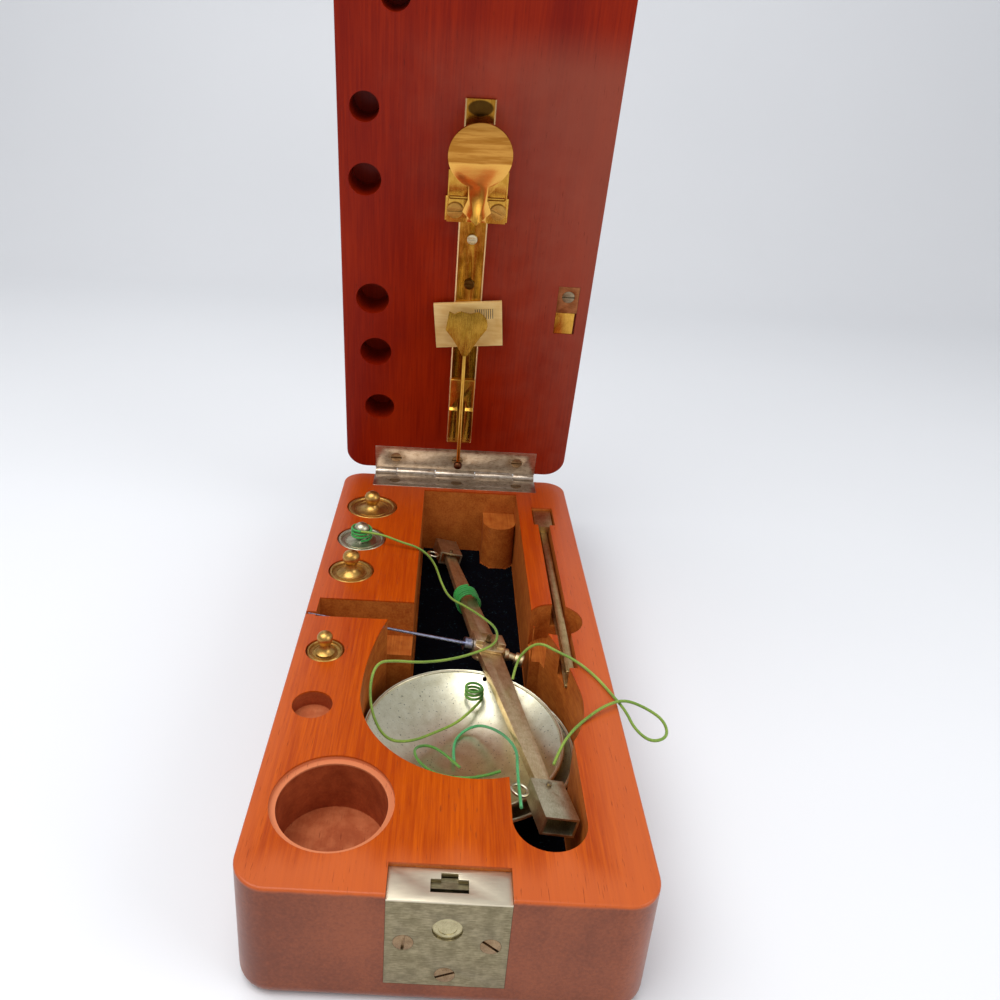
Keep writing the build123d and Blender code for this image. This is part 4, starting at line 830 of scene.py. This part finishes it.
# Balance: a tapered box-section beam of worn nickelled brass, with a steel knife and pins, a
# blued pointer, a bob on its stem, and a stirrup with a wire ring at each end.
beam_nickel = metal("beam_nickel", (236, 216, 176), (198, 170, 122), 0.30, 0.50, (1, 0.1, 1), 0.2)
blued_steel = metal("blued_steel", (186, 190, 214), (132, 136, 160), 0.20, 0.38, (0.1, 1, 1))
stirrup_nickel = metal(
    "stirrup_nickel", (214, 206, 176), (166, 154, 122), 0.30, 0.48, (1, 0.2, 1), 0.3
)
pan_nickel = metal("pan_nickel", (240, 236, 212), (212, 204, 172), 0.24, 0.38, (1, 1, 1), 0.7)
kept_form("centre_knife", plain_steel)
kept_form("stirrup_pins", plain_steel)
dress("beam", beam_nickel, 0.00018)
dress("beam_boss", beam_nickel, 0.00025)
dress("pointer", blued_steel, 0)
dress("gravity_stem", beam_nickel, 0.00010)
dress("gravity_bob", beam_nickel, 0)
dress("stirrup_near", stirrup_nickel, 0.00015)
dress("stirrup_far", stirrup_nickel, 0.00015)
dress("ring_near", pan_nickel, 0)
dress("ring_far", pan_nickel, 0)

# Pans: two thin spun dishes of pale nickel, one in the other, each with its rim rolled over a
# wire.
dress("pan_lower", pan_nickel, 0)
dress("pan_upper", pan_nickel, 0)
for node in ("pan_lower", "pan_upper"):
    low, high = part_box(node)
    middle = Vector(((low[0] + high[0]) / 2, (low[1] + high[1]) / 2, high[2] - 0.00035))
    hoop = bpy.data.curves.new(node + "_rim", "CURVE")
    hoop.dimensions = "3D"
    hoop.bevel_depth = 0.00038
    hoop.bevel_resolution = 3
    hoop.resolution_u = 24
    spline = hoop.splines.new("NURBS")
    spline.points.add(15)
    for step, control in enumerate(spline.points):
        turn = 2 * math.pi * step / 16
        outset = ((high[0] - low[0]) / 2 - 0.0003) / math.cos(math.pi / 16) ** 0.5
        control.co = (
            middle.x + outset * math.cos(turn),
            middle.y + outset * math.sin(turn),
            middle.z,
            1,
        )
    spline.order_u = 4
    spline.use_cyclic_u = True
    rim_piece = bpy.data.objects.new(node + "_rim", hoop)
    bpy.context.scene.collection.objects.link(rim_piece)
    hoop.materials.append(pan_nickel)
    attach(rim_piece, body_of[node])

# Velvet: a near-black sheet glued to the well's floor, cut to the well's outline, with an
# uneven nap and bits of lint.
velvet, point = new_material("velvet")
nap = point.noise(900, 3, 0.6)
tufts = point.noise(5200, 2, 0.6)
lint = (point.noise(1500, 2, 0.5) * 0.7 + point.noise(300, 2, 0.5) * 0.4).step(0.66, 0.74)
colour = (nap * 0.5 + tufts * 0.6 - 0.1).step(0.3, 0.8).mix(paint(1, 1, 3), paint(8, 13, 28))
colour = (lint * 0.5).mix(colour, paint(50, 78, 86))
finish_material(
    velvet, colour, 0.95, (nap * 0.5 + tufts).bump(0.8, 0.0006), Specular_IOR_Level=0.05
)
lining_cell = 0.0008
source = bmesh.new()
source.from_mesh(nodes["well_lining"].data)
tree = BVHTree.FromBMesh(source)
low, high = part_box("well_lining")
grid = {}
velvet_shape = bmesh.new()
columns = int((high[0] - low[0]) / lining_cell)
rows = int((high[1] - low[1]) / lining_cell)
for column in range(columns + 1):
    for row in range(rows + 1):
        x = low[0] + column * lining_cell
        y = low[1] + row * lining_cell
        if tree.ray_cast(Vector((x, y, 0.02)), Vector((0, 0, -1)), 0.02)[0] is not None:
            rise = 0.00012 * noise(Vector((x, y, 0)) * 300)
            rise += 0.00008 * noise(Vector((x, y, 1)) * 900)
            grid[column, row] = velvet_shape.verts.new((x, y, high[2] - 0.0003 + rise))
source.free()
for column in range(columns):
    for row in range(rows):
        corners = [(column, row), (column + 1, row), (column + 1, row + 1), (column, row + 1)]
        if all(corner in grid for corner in corners):
            velvet_shape.faces.new([grid[corner] for corner in corners])
velvet_area = sum(face.calc_area() for face in velvet_shape.faces)
velvet_mesh = bpy.data.meshes.new("velvet_lining")
velvet_shape.to_mesh(velvet_mesh)
velvet_shape.free()
velvet_mesh.shade_smooth()
velvet_lining = bpy.data.objects.new("velvet_lining", velvet_mesh)
bpy.context.scene.collection.objects.link(velvet_lining)
take_place(velvet_lining, velvet, "well_lining")

low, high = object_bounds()
